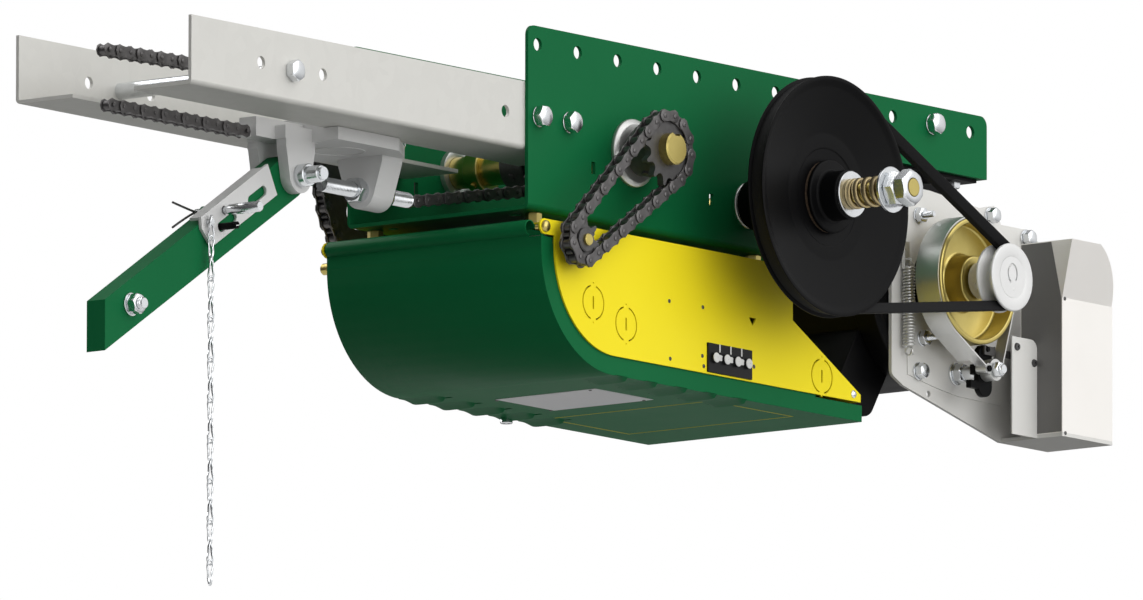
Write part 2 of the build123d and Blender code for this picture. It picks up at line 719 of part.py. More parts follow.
hub_clear = chain_inner_width / 2 + 2 * plate_thick + slide_gap
with BuildPart() as drive_sprocket:
    sprocket(xz(0, drive_x, drive_z), drive_teeth, 90, drive_shaft_d / 2)
    hub(drive_x, drive_z, hub_clear, -hub_clear, 13.8, drive_shaft_d / 2)
    hub(drive_x, drive_z, hub_clear + 22, hub_clear, 19, drive_shaft_d / 2)
drive_sprocket.part.label = "drive_sprocket"
export_step(drive_sprocket.part, "parts/drive_sprocket.step")

limit_seat = 180 + limit_angle + 180 / limit_drive_teeth
with BuildPart() as limit_drive_sprocket:
    sprocket(xz(limit_plane, drive_x, drive_z), limit_drive_teeth, limit_seat, drive_shaft_d / 2)
    hub(drive_x, drive_z, -half_width - drive_bearing[1] - slide_gap, limit_plane + tooth_width / 2, 19,
        drive_shaft_d / 2)
limit_drive_sprocket.part.label = "limit_drive_sprocket"
export_step(limit_drive_sprocket.part, "parts/limit_drive_sprocket.step")

limit_hub_back = -box_half - limit_bearing[1] - slide_gap
with BuildPart() as limit_sprocket:
    sprocket(xz(limit_plane, limit_x, limit_z), limit_teeth, limit_angle + 180 / limit_teeth, limit_shaft_d / 2)
    hub(limit_x, limit_z, limit_hub_back, limit_plane - tooth_width / 2 - 3, 9.6, limit_shaft_d / 2)
limit_sprocket.part.label = "limit_sprocket"
export_step(limit_sprocket.part, "parts/limit_sprocket.step")

write_group(chain_solids(placed(limit_loop, drive_x, drive_z, limit_angle), limit_plane, closed=True,
                         no_roller=range(len(limit_loop))), "limit_chain")

with BuildPart() as limit_shaft:
    shaft_far = box_half + limit_bearing[1] + slide_gap
    disc(xz(shaft_far, limit_x, limit_z), limit_shaft_d / 2, shaft_far - limit_plane + 8.5)
    disc(xz(shaft_far + 3, limit_x, limit_z), 7, 3)
limit_shaft.part.label = "limit_shaft"
export_step(limit_shaft.part, "parts/limit_shaft.step")

# Limit nuts on the threaded shaft, their guide and the switches they reach
nut_places = (-38.0, 46.0)
nut_guide_y = 92.0
notch_depth = 2.0
limit_nut_radius = 11.5
limit_nuts = []
for y in nut_places:
    with BuildPart() as limit_nut:
        with BuildSketch(xz(y + 4, limit_x, limit_z)) as notched:
            RegularPolygon(radius=limit_nut_radius, side_count=12)
            Circle(limit_shaft_d / 2 + run_gap, mode=Mode.SUBTRACT)
            with Locations((0, -limit_nut_radius)):
                Rectangle(3, 2 * notch_depth + 0.8, mode=Mode.SUBTRACT)
        extrude(notched.sketch, amount=8)
    limit_nuts.append(limit_nut.part)
write_group(limit_nuts, "limit_nuts")

guide_top = limit_z - limit_nut_radius + notch_depth
switch_parts = []
with BuildPart() as nut_guide:
    box_between((limit_x - 0.8, -nut_guide_y, guide_top - 14), (limit_x + 0.8, nut_guide_y, guide_top))
    box_between((limit_x - 0.8, -nut_guide_y, guide_top - 15.5), (limit_x + 34, nut_guide_y, guide_top - 14))
    for side in (-1, 1):
        end = side * (box_half - box_sheet)
        low_y = min(end, side * nut_guide_y)
        high_y = max(end, side * nut_guide_y)
        box_between((limit_x + 6, low_y, guide_top - 15.5), (limit_x + 34, high_y, guide_top - 14))
switch_parts.append(nut_guide.part)
for y in nut_places:
    far_side = 1 if y > 0 else -1
    with BuildPart() as switch:
        switch_y = y + far_side * 26
        box_between((limit_x + 14, switch_y - 5, guide_top - 14), (limit_x + 30, switch_y + 5, guide_top + 6))
        box_between((limit_x + 6, switch_y - far_side * 5 - 0.4, guide_top - 2),
                    (limit_x + 16, switch_y - far_side * 5 + 0.4, guide_top + 10))
    switch_parts.append(switch.part)
write_group(switch_parts, "limit_switches")

# Reduction drive on the far side
seat_big = 180 + reduction_angle + 180 / big_teeth
with BuildPart() as reduction_sprocket:
    sprocket(xz(reduction_plane, drive_x, drive_z), big_teeth, seat_big, drive_shaft_d / 2)
    with BuildSketch(xz(reduction_plane + tooth_width, drive_x, drive_z)) as lightening:
        with PolarLocations(52, 5):
            Circle(13)
    extrude(lightening.sketch, amount=2 * tooth_width, mode=Mode.SUBTRACT)
    hub(drive_x, drive_z, reduction_plane - tooth_width / 2, half_width + drive_bearing[1] + slide_gap, 24,
        drive_shaft_d / 2)
reduction_sprocket.part.label = "reduction_sprocket"
export_step(reduction_sprocket.part, "parts/reduction_sprocket.step")

with BuildPart() as clutch_sprocket:
    sprocket(xz(reduction_plane, clutch_x, clutch_z), small_teeth, reduction_angle + 180 / small_teeth,
             clutch_shaft_d / 2)
    hub(clutch_x, clutch_z, reduction_plane - tooth_width / 2, half_width + clutch_bearing[1] + slide_gap, 13.8,
        clutch_shaft_d / 2)
clutch_sprocket.part.label = "clutch_sprocket"
export_step(clutch_sprocket.part, "parts/clutch_sprocket.step")

write_group(chain_solids(placed(reduction_loop, drive_x, drive_z, reduction_angle), reduction_plane, closed=True,
                         no_roller=range(len(reduction_loop))), "reduction_chain")

# Clutch stack along its shaft, from the chassis towards the viewer
disc_gap = 0.1
web_front = pulley_front + 9.0
web_thick = 4.0
web_back = web_front + web_thick
lining = 3.2
hub_flange = 6.0
lining_back = web_back + disc_gap + lining
boss_front = -172.0
front_lining = 2.0
spring_back = -189.3
washer_one = spring_back - washer_thick
spring_front = -227.8
washer_two = spring_front - washer_thick
pulley_bore = 13.0

with BuildPart() as clutch_shaft:
    shaft_far_end = far_wheel_face + 5
    disc(xz(shaft_far_end, clutch_x, clutch_z), clutch_shaft_d / 2, shaft_far_end - web_front)
    disc(xz(web_front, clutch_x, clutch_z), clutch_thread_d / 2, web_front - clutch_near_end)
clutch_shaft.part.label = "clutch_shaft"
export_step(clutch_shaft.part, "parts/clutch_shaft.step")

with BuildPart() as drive_hub:
    disc(xz(lining_back + hub_flange, clutch_x, clutch_z), 46, hub_flange)
    hub(clutch_x, clutch_z, -half_width - clutch_bearing[1] - slide_gap, lining_back + hub_flange, 20,
        clutch_shaft_d / 2)
    disc(xz(lining_back, clutch_x, clutch_z), pulley_bore - run_gap, lining_back - web_front)
    disc(xz(lining_back + 60, clutch_x, clutch_z), clutch_shaft_d / 2, 90, mode=Mode.SUBTRACT)
drive_hub.part.label = "clutch_drive_hub"
export_step(drive_hub.part, "parts/clutch_drive_hub.step")

linings = []
for face, radius, thick in ((lining_back, 44.0, lining), (web_front - disc_gap, 28.0, front_lining)):
    with BuildPart() as friction:
        disc(xz(face, clutch_x, clutch_z), radius, thick)
        disc(xz(face + 1, clutch_x, clutch_z), pulley_bore, thick + 2, mode=Mode.SUBTRACT)
    linings.append(friction.part)
write_group(linings, "clutch_linings")

groove_bottom = belt_radius_big - belt_depth - 1.5
rim_radius = pulley_d / 2
groove_half = belt_top_width / 2 + slide_gap
pulley_mid = pulley_front + pulley_width / 2
slope = 0.3


def revolve_profile(points, x, z):
    """Revolve a profile of (radius, y) points about the Y line through (x, z)."""
    with BuildSketch(Plane(origin=(x, 0, z), x_dir=(1, 0, 0), z_dir=(0, 0, 1))) as profile:
        with BuildLine():
            Polyline(*points, close=True)
        make_face()
    revolve(profile.sketch, axis=Axis((x, 0, z), (0, 1, 0)))


def groove(rim_radius, floor_radius, belt_radius):
    """Profile points of a V groove from its back lip to its front lip, around a belt of belt_radius."""
    top_half = groove_half + slope * (rim_radius - belt_radius)
    low_half = groove_half - slope * (belt_radius - floor_radius)
    return [(rim_radius, pulley_mid + top_half), (floor_radius, pulley_mid + low_half),
            (floor_radius, pulley_mid - low_half), (rim_radius, pulley_mid - top_half)]


with BuildPart() as clutch_pulley:
    pulley_back = pulley_front + pulley_width
    rim = [(pulley_bore, web_back), (rim_radius - 24.5, web_back), (rim_radius - 14.5, pulley_back),
           (rim_radius, pulley_back)]
    rim += groove(rim_radius, groove_bottom, belt_radius_big)
    rim += [(rim_radius, pulley_front), (rim_radius - 2.5, pulley_front), (rim_radius - 25.5, web_front),
            (pulley_bore, web_front)]
    revolve_profile(rim, clutch_x, clutch_z)
clutch_pulley.part.label = "clutch_pulley"
export_step(clutch_pulley.part, "parts/clutch_pulley.step")

lining_front = web_front - disc_gap - front_lining
with BuildPart() as pressure_hub:
    disc(xz(lining_front, clutch_x, clutch_z), 28.9, lining_front - boss_front)
    disc(xz(boss_front, clutch_x, clutch_z), 19.4, boss_front - spring_back)
    disc(xz(lining_front + 1, clutch_x, clutch_z), clutch_thread_d / 2, 40, mode=Mode.SUBTRACT)
pressure_hub.part.label = "clutch_pressure_hub"
export_step(pressure_hub.part, "parts/clutch_pressure_hub.step")

washers = []
for face in (spring_back, spring_front):
    with BuildPart() as washer:
        disc(xz(face, clutch_x, clutch_z), washer_d / 2, washer_thick)
        disc(xz(face + 1, clutch_x, clutch_z), clutch_thread_d / 2, washer_thick + 2, mode=Mode.SUBTRACT)
    washers.append(washer.part)
write_group(washers, "clutch_washers")

coil_steps = 12
with BuildPart() as clutch_spring:
    coil_room = washer_one - spring_front
    coil_pitch = (coil_room - spring_wire - 0.4) / spring_turns
    coil_radius = (spring_d - spring_wire * 0.75) / 2
    coil_start = washer_one - spring_wire / 2 - 0.2
    for i in range(coil_steps * spring_turns + 1):
        turn = 2 * pi * i / coil_steps
        coil_y = coil_start - coil_pitch * i / coil_steps
        outward = (cos(turn), 0, sin(turn))
        along = (-sin(turn), 0, cos(turn))
        with BuildSketch(Plane(origin=(clutch_x, coil_y, clutch_z), x_dir=outward, z_dir=along)):
            with Locations((coil_radius + 0.15, 0)):
                Rectangle(spring_wire * 0.75 - 0.3, spring_wire)
    loft(ruled=True)
clutch_spring.part.label = "clutch_spring"
export_step(clutch_spring.part, "parts/clutch_spring.step")

jam_nuts = []
for i in range(2):
    with BuildPart() as jam_nut:
        face = washer_two - i * clutch_nut_height
        with BuildSketch(xz(face, clutch_x, clutch_z)) as nut_outline:
            RegularPolygon(radius=clutch_nut / sqrt(3), side_count=6, rotation=30)
            Circle(clutch_thread_d / 2, mode=Mode.SUBTRACT)
        extrude(nut_outline.sketch, amount=clutch_nut_height)
    jam_nuts.append(jam_nut.part)
write_group(jam_nuts, "clutch_nuts")

# V-belt around both pulleys
centre_span = hypot(motor_x - clutch_x, motor_z - clutch_z)
centre_turn = atan2(motor_z - clutch_z, motor_x - clutch_x)
spread_angle = asin((belt_radius_big - belt_radius_small) / centre_span)


def belt_path(inset):
    """The belt's loop, inset from its outer face."""
    big = belt_radius_big - inset
    small = belt_radius_small - inset
    upper = centre_turn + pi / 2 - spread_angle
    lower = centre_turn - pi / 2 + spread_angle
    a = (clutch_x + big * cos(upper), clutch_z + big * sin(upper))
    b = (motor_x + small * cos(upper), motor_z + small * sin(upper))
    c = (motor_x + small * cos(lower), motor_z + small * sin(lower))
    d = (clutch_x + big * cos(lower), clutch_z + big * sin(lower))
    right = (motor_x + small * cos(centre_turn), motor_z + small * sin(centre_turn))
    left = (clutch_x - big * cos(centre_turn), clutch_z - big * sin(centre_turn))
    return a, b, c, d, right, left


def belt_layer(inset, plane_y):
    a, b, c, d, right, left = belt_path(inset)
    with BuildSketch(xz(plane_y)) as loop:
        with BuildLine():
            Line(a, b)
            ThreePointArc(b, right, c)
            Line(c, d)
            ThreePointArc(d, left, a)
        make_face()
    return loop.sketch


belt_mid = pulley_mid
with BuildPart() as belt:
    belt_side = belt_depth * slope
    for half in (-1, 1):
        edge = belt_mid + half * belt_top_width / 2
        add(loft([belt_layer(0, edge), belt_layer(0, belt_mid)], mode=Mode.PRIVATE))
    core = loft([belt_layer(belt_depth, belt_mid + belt_top_width / 2 - belt_side),
                 belt_layer(belt_depth, belt_mid - belt_top_width / 2 + belt_side)], mode=Mode.PRIVATE)
    near_cone = loft([belt_layer(0.001, belt_mid - belt_top_width / 2),
                      belt_layer(belt_depth, belt_mid - belt_top_width / 2 + belt_side)], mode=Mode.PRIVATE)
    far_cone = loft([belt_layer(0.001, belt_mid + belt_top_width / 2),
                     belt_layer(belt_depth, belt_mid + belt_top_width / 2 - belt_side)], mode=Mode.PRIVATE)
    add(core, mode=Mode.SUBTRACT)
    add(near_cone, mode=Mode.SUBTRACT)
    add(far_cone, mode=Mode.SUBTRACT)
belt.part.label = "v_belt"
export_step(belt.part, "parts/v_belt.step")

# Motor
with BuildPart() as motor:
    shell_front = motor_front + bell_length
    disc(xz(shell_front, motor_x, motor_z), motor_d / 2, bell_length)
    disc(xz(motor_back - 18, motor_x, motor_z), motor_d / 2 - 1.2, motor_back - 18 - shell_front)
    disc(xz(motor_back, motor_x, motor_z), motor_d / 2 - 4, 18)
    disc(xz(shell_front, motor_x, motor_z), motor_shaft_d / 2 + run_gap, bell_length + 1, mode=Mode.SUBTRACT)
    rear_edge = motor.edges().filter_by(GeomType.CIRCLE).sort_by(Axis.Y)[-1]
    chamfer(rear_edge, 6)
motor.part.label = "motor_body"
export_step(motor.part, "parts/motor_body.step")

capacitor_turn = 238.0
with BuildPart() as capacitor:
    away = (cos(radians(capacitor_turn)), sin(radians(capacitor_turn)))
    across = (-away[1], away[0])
    offset_across = -13.0
    near = motor_d / 2 - 12
    far = 127.0
    half = 24.5

    def can_point(reach, side):
        return (motor_x + reach * away[0] + (side + offset_across) * across[0],
                motor_z + reach * away[1] + (side + offset_across) * across[1])

    with BuildSketch(xz(52)) as can_outline:
        with BuildLine():
            Polyline(can_point(near, -half), can_point(far, -half), can_point(far, half), can_point(near, half),
                     close=True)
        make_face()
        outer_corners = can_outline.vertices().sort_by_distance((motor_x, 52, motor_z))[2:]
        fillet(outer_corners, 13)
    extrude(can_outline.sketch, amount=52 - shell_front)
    disc(xz(60, motor_x, motor_z), motor_d / 2 - 1.2, 150, mode=Mode.SUBTRACT)
capacitor.part.label = "capacitor_housing"
export_step(capacitor.part, "parts/capacitor_housing.step")

pulley_front_small = pulley_mid - motor_pulley_width / 2
with BuildPart() as motor_shaft:
    disc(xz(shell_front, motor_x, motor_z), motor_shaft_d / 2, shell_front - pulley_front_small - 0.6)
motor_shaft.part.label = "motor_shaft"
export_step(motor_shaft.part, "parts/motor_shaft.step")

with BuildPart() as motor_pulley:
    pulley_back_small = pulley_mid + motor_pulley_width / 2
    small_rim = motor_pulley_d / 2
    small_floor = belt_radius_small - belt_depth - 1.0
    body = [(motor_shaft_d / 2, -142.6), (14.5, -142.6), (14.5, pulley_back_small), (small_rim, pulley_back_small)]
    body += groove(small_rim, small_floor, belt_radius_small)
    body += [(small_rim, pulley_front_small), (motor_shaft_d / 2, pulley_front_small)]
    revolve_profile(body, motor_x, motor_z)
motor_pulley.part.label = "motor_pulley"
export_step(motor_pulley.part, "parts/motor_pulley.step")

# Motor cradle under the stepped end of the chassis
with BuildPart() as motor_mount:
    plate_top = step_floor
    box_between((143, -84, plate_top - sheet), (294, 84, plate_top))
    for y in (-44, 48):
        with BuildSketch(xz(y, motor_x, 0)) as saddle:
            with Locations((0, (plate_top - sheet - 80) / 2)):
                Rectangle(124, 80 + plate_top - sheet)
        extrude(saddle.sketch, amount=4)
    disc(xz(60, motor_x, motor_z), motor_d / 2 - 1.2, 120, mode=Mode.SUBTRACT)
    with BuildSketch(Plane.XY.offset(plate_top - sheet - 1)) as slots:
        with Locations((160, -72), (276, -72), (160, 72), (276, 72)):
            SlotOverall(18, 8.8)
    extrude(slots.sketch, amount=sheet + 2, mode=Mode.SUBTRACT)
motor_mount.part.label = "motor_mount"
export_step(motor_mount.part, "parts/motor_mount.step")

motor_fasteners = []
for x, y in ((160, -72), (276, -72), (160, 72), (276, 72)):
    with BuildPart() as mount_bolt:
        hexagon(Plane(origin=(x, y, step_floor - sheet), z_dir=(0, 0, -1)), 13, 5.5)
        disc(Plane.XY.offset(step_floor - sheet).move(Location((x, y, 0))), 4, 2 * sheet + 9)
        hexagon(Plane(origin=(x, y, step_floor + sheet), z_dir=(0, 0, 1)), 13, 6.5)
    motor_fasteners.append(mount_bolt.part)
stud_places = ((195.7, -77.7), (200.8, -174.8))
for x, z in stud_places:
    with BuildPart() as stud:
        disc(xz(bracket_front, x, z), 6.5, 1.5)
        hexagon(xz(bracket_front - 1.5, x, z), 11, 5)
        disc(xz(bracket_front + 1, x, z), 2.6, 17)
    motor_fasteners.append(stud.part)
for x, z, rise in ((290.0, -66.7, 0), (337.2, -79.0, 0), (194.4, -202.0, pad_rise)):
    with BuildPart() as plate_bolt:
        disc(xz(bracket_front - rise, x, z), 7, 1.5)
        hexagon(xz(bracket_front - rise - 1.5, x, z), 11, 6)
    motor_fasteners.append(plate_bolt.part)

# Brake bracket
with BuildPart() as bracket:
    with BuildSketch(xz(motor_front)) as bracket_outline:
        with BuildLine():
            Polyline((161.3, -208), (161.3, -68), (178, -56), (211, -56), (276, -62), (296, -58), (305, -72),
                     (345, -72), (cover_right, -95), (cover_right, cover_bottom), (cover_left, cover_bottom),
                     (176.4, -215.2), close=True)
        make_face()
        fillet(bracket_outline.vertices().group_by(Axis.X)[0], 6)
        with Locations((motor_x, motor_z)):
            Circle(30, mode=Mode.SUBTRACT)
        with Locations((209.5, -218.3)):
            Circle(2.6, mode=Mode.SUBTRACT)
        with Locations((187.5, -188.7)):
            Circle(2.2, mode=Mode.SUBTRACT)
        with Locations(*stud_places):
            Circle(2.6 + bolt_gap, mode=Mode.SUBTRACT)
    extrude(bracket_outline.sketch, amount=bracket_sheet)
    box_between((cover_left, cover_front, cover_bottom), (cover_right, bracket_front, cover_bottom + bracket_sheet))
    with BuildSketch(xz(bracket_front)) as pad:
        with BuildLine():
            Polyline((181, -190), (181, -206), (219.7, -212.7), (247, -216), (cover_left, -217), (cover_left, -186),
                     (250, -186), close=True)
        make_face()
    extrude(pad.sketch, amount=pad_rise)
bracket.part.label = "brake_bracket"
export_step(bracket.part, "parts/brake_bracket.step")

with BuildPart() as drum:
    drum_r = drum_d / 2
    wall = 4.0
    cup = [(motor_shaft_d / 2, drum_back - 1), (drum_r - 1, drum_back - 1), (drum_r - 1, drum_back), (drum_r, drum_back)]
    cup = [(motor_shaft_d / 2, drum_back), (drum_r, drum_back), (drum_r, drum_front), (drum_r - wall, drum_front),
           (drum_r - wall, drum_back - 8), (22, drum_back - 6), (20, -141), (motor_shaft_d / 2, -141)]
    revolve_profile(cup, motor_x, motor_z)
drum.part.label = "brake_drum"
export_step(drum.part, "parts/brake_drum.step")

band_inner = drum_d / 2 + slide_gap
band_radius = band_inner + band_thick
band_width = 22.0
band_mid_y = (drum_front + drum_back) / 2
strap_back = lever_front - slide_gap
strap_front = band_mid_y - band_width / 2
left_end = (lever_x - 10.5, lever_z + 1.5)
right_end = (lever_x + 7.6, lever_z + 3.0)


def band_point(reach, angle):
    return (motor_x + reach * cos(angle), motor_z + reach * sin(angle))


def tangent_angle(end, side):
    """Where a straight strap from end meets the drum, as an angle about the motor axis."""
    away = hypot(end[0] - motor_x, end[1] - motor_z)
    return atan2(end[1] - motor_z, end[0] - motor_x) + side * acos(band_inner / away)


def strap(tangent, end, y_high, y_low, share):
    """The straight part of the band from its tangent point, over a share of its length."""
    inner_point = band_point(band_inner, tangent)
    outer_point = band_point(band_radius, tangent)
    run = (share * (end[0] - inner_point[0]), share * (end[1] - inner_point[1]))
    with BuildSketch(xz(y_high)) as strap_outline:
        with BuildLine():
            Polyline(inner_point, outer_point, (outer_point[0] + run[0], outer_point[1] + run[1]),
                     (inner_point[0] + run[0], inner_point[1] + run[1]), close=True)
        make_face()
    extrude(strap_outline.sketch, amount=y_high - y_low)


with BuildPart() as band:
    left_tangent = tangent_angle(left_end, -1)
    right_tangent = tangent_angle(right_end, 1)
    top = (left_tangent + right_tangent) / 2 + pi
    with BuildSketch(xz(band_mid_y + band_width / 2)) as band_outline:
        with BuildLine():
            ThreePointArc(band_point(band_radius, left_tangent), band_point(band_radius, top),
                          band_point(band_radius, right_tangent))
            Line(band_point(band_radius, right_tangent), band_point(band_inner, right_tangent))
            ThreePointArc(band_point(band_inner, right_tangent), band_point(band_inner, top),
                          band_point(band_inner, left_tangent))
            Line(band_point(band_inner, left_tangent), band_point(band_radius, left_tangent))
        make_face()
    extrude(band_outline.sketch, amount=band_width)
    for tangent, end, share in ((left_tangent, left_end, 0.75), (right_tangent, right_end, 0.42)):
        strap(tangent, end, band_mid_y + band_width / 2, strap_front, share)
        strap(tangent, end, strap_back, strap_front, 1.0)
    # Eyes at the strap ends, round the lever's pin and the fixed pivot bolt
    for centre, radius in (((lever_x - 9.5, lever_z), 4.2), ((lever_x, lever_z), 8.6)):
        disc(xz(strap_back, *centre), radius, strap_back - strap_front)
    disc(xz(strap_back + 1, lever_x - 9.5, lever_z), 2.5 + run_gap, 12, mode=Mode.SUBTRACT)
    disc(xz(strap_back + 1, lever_x, lever_z), 4 + run_gap, 12, mode=Mode.SUBTRACT)
band.part.label = "brake_band"
export_step(band.part, "parts/brake_band.step")

with BuildPart() as lever:
    with BuildSketch(xz(lever_front + lever_thick, lever_x, lever_z)) as lever_plate:
        SlotOverall(41.5, 17.5, rotation=90)
        with Locations((-9, 0)):
            Rectangle(10, 8)
        with Locations((-12, -12)):
            Rectangle(14, 6)
        Circle(4 + run_gap, mode=Mode.SUBTRACT)
    extrude(lever_plate.sketch, amount=lever_thick)
    disc(xz(lever_front, lever_x - 9.5, lever_z), 2.5, lever_front - strap_front + 1.5)
    disc(xz(lever_front, lever_x, lever_z + rod_rise), link_pin_r, 3.5)
lever.part.label = "brake_lever"
export_step(lever.part, "parts/brake_lever.step")

with BuildPart() as pivot_bolt:
    disc(xz(bracket_front - pad_rise, lever_x, lever_z), 9, 2)
    hexagon(xz(bracket_front - pad_rise - 2, lever_x, lever_z), 14, 8)
    disc(xz(bracket_front - pad_rise, lever_x, lever_z), 5.5, bracket_front - pad_rise - lever_front - lever_thick - slide_gap)
    disc(xz(bracket_front - pad_rise, lever_x, lever_z), 4, bracket_front - pad_rise - strap_front + 8)
    hexagon(xz(strap_front - slide_gap, lever_x, lever_z), 11, 5)
motor_fasteners.append(pivot_bolt.part)
write_group(motor_fasteners, "motor_fasteners")

with BuildPart() as brake_spring:
    spring_x = 175.2
    spring_y = bracket_front - 6.5
    disc(Plane(origin=(spring_x, spring_y, -185.3), z_dir=(0, 0, 1)), 5.2, 63.4)
    box_between((spring_x - 3, spring_y - 1.5, -122.5), (spring_x + 3, spring_y + 1.5, -101.5))
    box_between((spring_x - 3, spring_y + 1.5, -110), (spring_x + 3, bracket_front, -101.5))
    box_between((spring_x - 1, spring_y - 1, -189.5), (spring_x + 1, spring_y + 1, -185.3))
    box_between((spring_x - 1, spring_y - 1, -189.5), (spring_x + 1, bracket_front, -187.5))
brake_spring.part.label = "brake_spring"
export_step(brake_spring.part, "parts/brake_spring.step")

# Solenoid: coil block on the bracket's lower flange side, and the plunger that pulls the lever
rod_y = lever_front + rod_d / 2
rod_z = lever_z + rod_rise
with BuildPart() as solenoid:
    box_between((318, cover_front + 6, rod_z - 26), (360, bracket_front, rod_z + 20))
    box_between((310, cover_front + 12, rod_z - 20), (318, bracket_front - 8, rod_z + 14))
    disc(yz(300, rod_y, rod_z), rod_d / 2 + slide_gap, 45, mode=Mode.SUBTRACT)
solenoid.part.label = "brake_solenoid"
export_step(solenoid.part, "parts/brake_solenoid.step")

pin_drop = 0.2
with BuildPart() as plunger:
    disc(yz(lever_x + 9.0, rod_y, rod_z), rod_d / 2, 335 - lever_x - 9.0)
    link_back = lever_front - slide_gap
    box_between((lever_x + 9, link_back - 2, rod_z - 3), (lever_x + 10.2, rod_y, rod_z + 3))
    box_between((lever_x - 4, link_back - 2, rod_z - 4.5), (lever_x + 10.2, link_back, rod_z + 2.6))
    with BuildSketch(xz(link_back + 1, lever_x, rod_z - pin_drop)) as link_fork:
        Circle(link_pin_r + run_gap)
        Rectangle(2 * (link_pin_r + run_gap), 6, align=(Align.CENTER, Align.MIN))
    extrude(link_fork.sketch, amount=4, mode=Mode.SUBTRACT)
plunger.part.label = "solenoid_plunger"
export_step(plunger.part, "parts/solenoid_plunger.step")

with BuildPart() as cover:
    flare = 10.0
    front_top = cover_front - flare
    with BuildSketch(yz(cover_left)) as cover_side:
        with BuildLine():
            Polyline((cover_back, cover_bottom + bracket_sheet), (cover_front, cover_bottom + bracket_sheet),
                     (cover_front, cover_fold_z), (front_top, cover_top), (cover_back, cover_top), close=True)
        make_face()
    extrude(cover_side.sketch, amount=cover_right - cover_left)
    with BuildSketch(yz(cover_left + cover_sheet)) as cover_hollow:
        with BuildLine():
            Polyline((cover_back + 1, cover_bottom + bracket_sheet - 1), (cover_front + cover_sheet,
                     cover_bottom + bracket_sheet - 1), (cover_front + cover_sheet, cover_fold_z),
                     (front_top + cover_sheet, cover_top - cover_sheet), (cover_back + 1, cover_top - cover_sheet),
                     close=True)
        make_face()
    extrude(cover_hollow.sketch, amount=cover_right - cover_left - 2 * cover_sheet, mode=Mode.SUBTRACT)
    with BuildSketch(xz(cover_back + 1)) as shoulder:
        with BuildLine():
            Line((cover_right + 1, cover_top + 1), (341.8, cover_top + 1))
            Line((341.8, cover_top + 1), (341.8, cover_top))
            ThreePointArc((341.8, cover_top), (359, -104), (cover_right - 1, cover_fold_z))
            Line((cover_right - 1, cover_fold_z), (cover_right + 1, cover_fold_z))
            Line((cover_right + 1, cover_fold_z), (cover_right + 1, cover_top + 1))
        make_face()
    extrude(shoulder.sketch, amount=cover_back - front_top + 3, mode=Mode.SUBTRACT)
    disc(yz(cover_left - 1, rod_y, rod_z), rod_d / 2 + 1.5, 4, mode=Mode.SUBTRACT)
cover.part.label = "solenoid_cover"
export_step(cover.part, "parts/solenoid_cover.step")

# Electrical box: yellow end plates, right end panel, green hinged cover
plate_arc = box_arc_z - box_plate_bottom


def end_plate_sketch(y):
    with BuildSketch(xz(y)) as outline:
        with BuildLine():
            Line((box_arc_x - plate_arc, box_top), (box_notch_x, box_top))
            Line((box_notch_x, box_top), (box_notch_x, box_notch_z))
            Line((box_notch_x, box_notch_z), (box_right, -231))
            Line((box_right, -231), (box_right, box_plate_bottom))
            Line((box_right, box_plate_bottom), (box_arc_x, box_plate_bottom))
            mid = (box_arc_x - plate_arc * sqrt(0.5), box_arc_z - plate_arc * sqrt(0.5))
            ThreePointArc((box_arc_x, box_plate_bottom), mid, (box_arc_x - plate_arc, box_arc_z))
            Line((box_arc_x - plate_arc, box_arc_z), (box_arc_x - plate_arc, box_top))
        make_face()
        with Locations((tab_x, tab_z)):
            Circle(6.1)
        with Locations(((tab_x + box_arc_x - plate_arc) / 2, tab_z)):
            Rectangle(box_arc_x - plate_arc - tab_x + 0.4, 12)
        with Locations((tab_x, tab_z)):
            Circle(2.5, mode=Mode.SUBTRACT)
        with Locations((limit_x, limit_z)):
            Circle(limit_bearing[2], mode=Mode.SUBTRACT)
    return outline.sketch


for name, side in (("near_end_plate", -1), ("far_end_plate", 1)):
    with BuildPart() as end_plate:
        start = -box_half + box_sheet if side < 0 else box_half
        extrude(end_plate_sketch(start), amount=box_sheet)
        wall_in = side * (box_half - box_sheet)
        lip_in = side * 70
        low_y = min(wall_in, lip_in)
        high_y = max(wall_in, lip_in)
        box_between((box_arc_x - plate_arc, low_y, box_top - box_sheet), (box_notch_x, high_y, box_top))
        if side < 0:
            box_between((-87.7, -box_half - 1, -235.9), (-30.9, -box_half + box_sheet + 1, -212.5),
                        mode=Mode.SUBTRACT)
        with BuildSketch(Plane.XY.offset(box_top - box_sheet - 1)) as bolt_holes:
            with Locations((-270, side * 84), (10, side * 84)):
                Circle(4.4)
        extrude(bolt_holes.sketch, amount=box_sheet + 2, mode=Mode.SUBTRACT)
    end_plate.part.label = name
    export_step(end_plate.part, f"parts/{name}.step")

with BuildPart() as box_panel:
    panel_half = box_half - box_sheet
    low_corner = (box_right, -231)
    with BuildSketch(xz(panel_half)) as panel_outline:
        with BuildLine():
            panel_line = Polyline((box_notch_x - box_sheet, box_top - box_sheet), (box_notch_x - box_sheet, box_notch_z),
                                  (box_right - box_sheet, -231), (box_right - box_sheet, box_plate_bottom))
            offset(panel_line, amount=box_sheet, side=Side.LEFT)
        make_face()
    extrude(panel_outline.sketch, amount=2 * panel_half)
box_panel.part.label = "box_end_panel"
export_step(box_panel.part, "parts/box_end_panel.step")

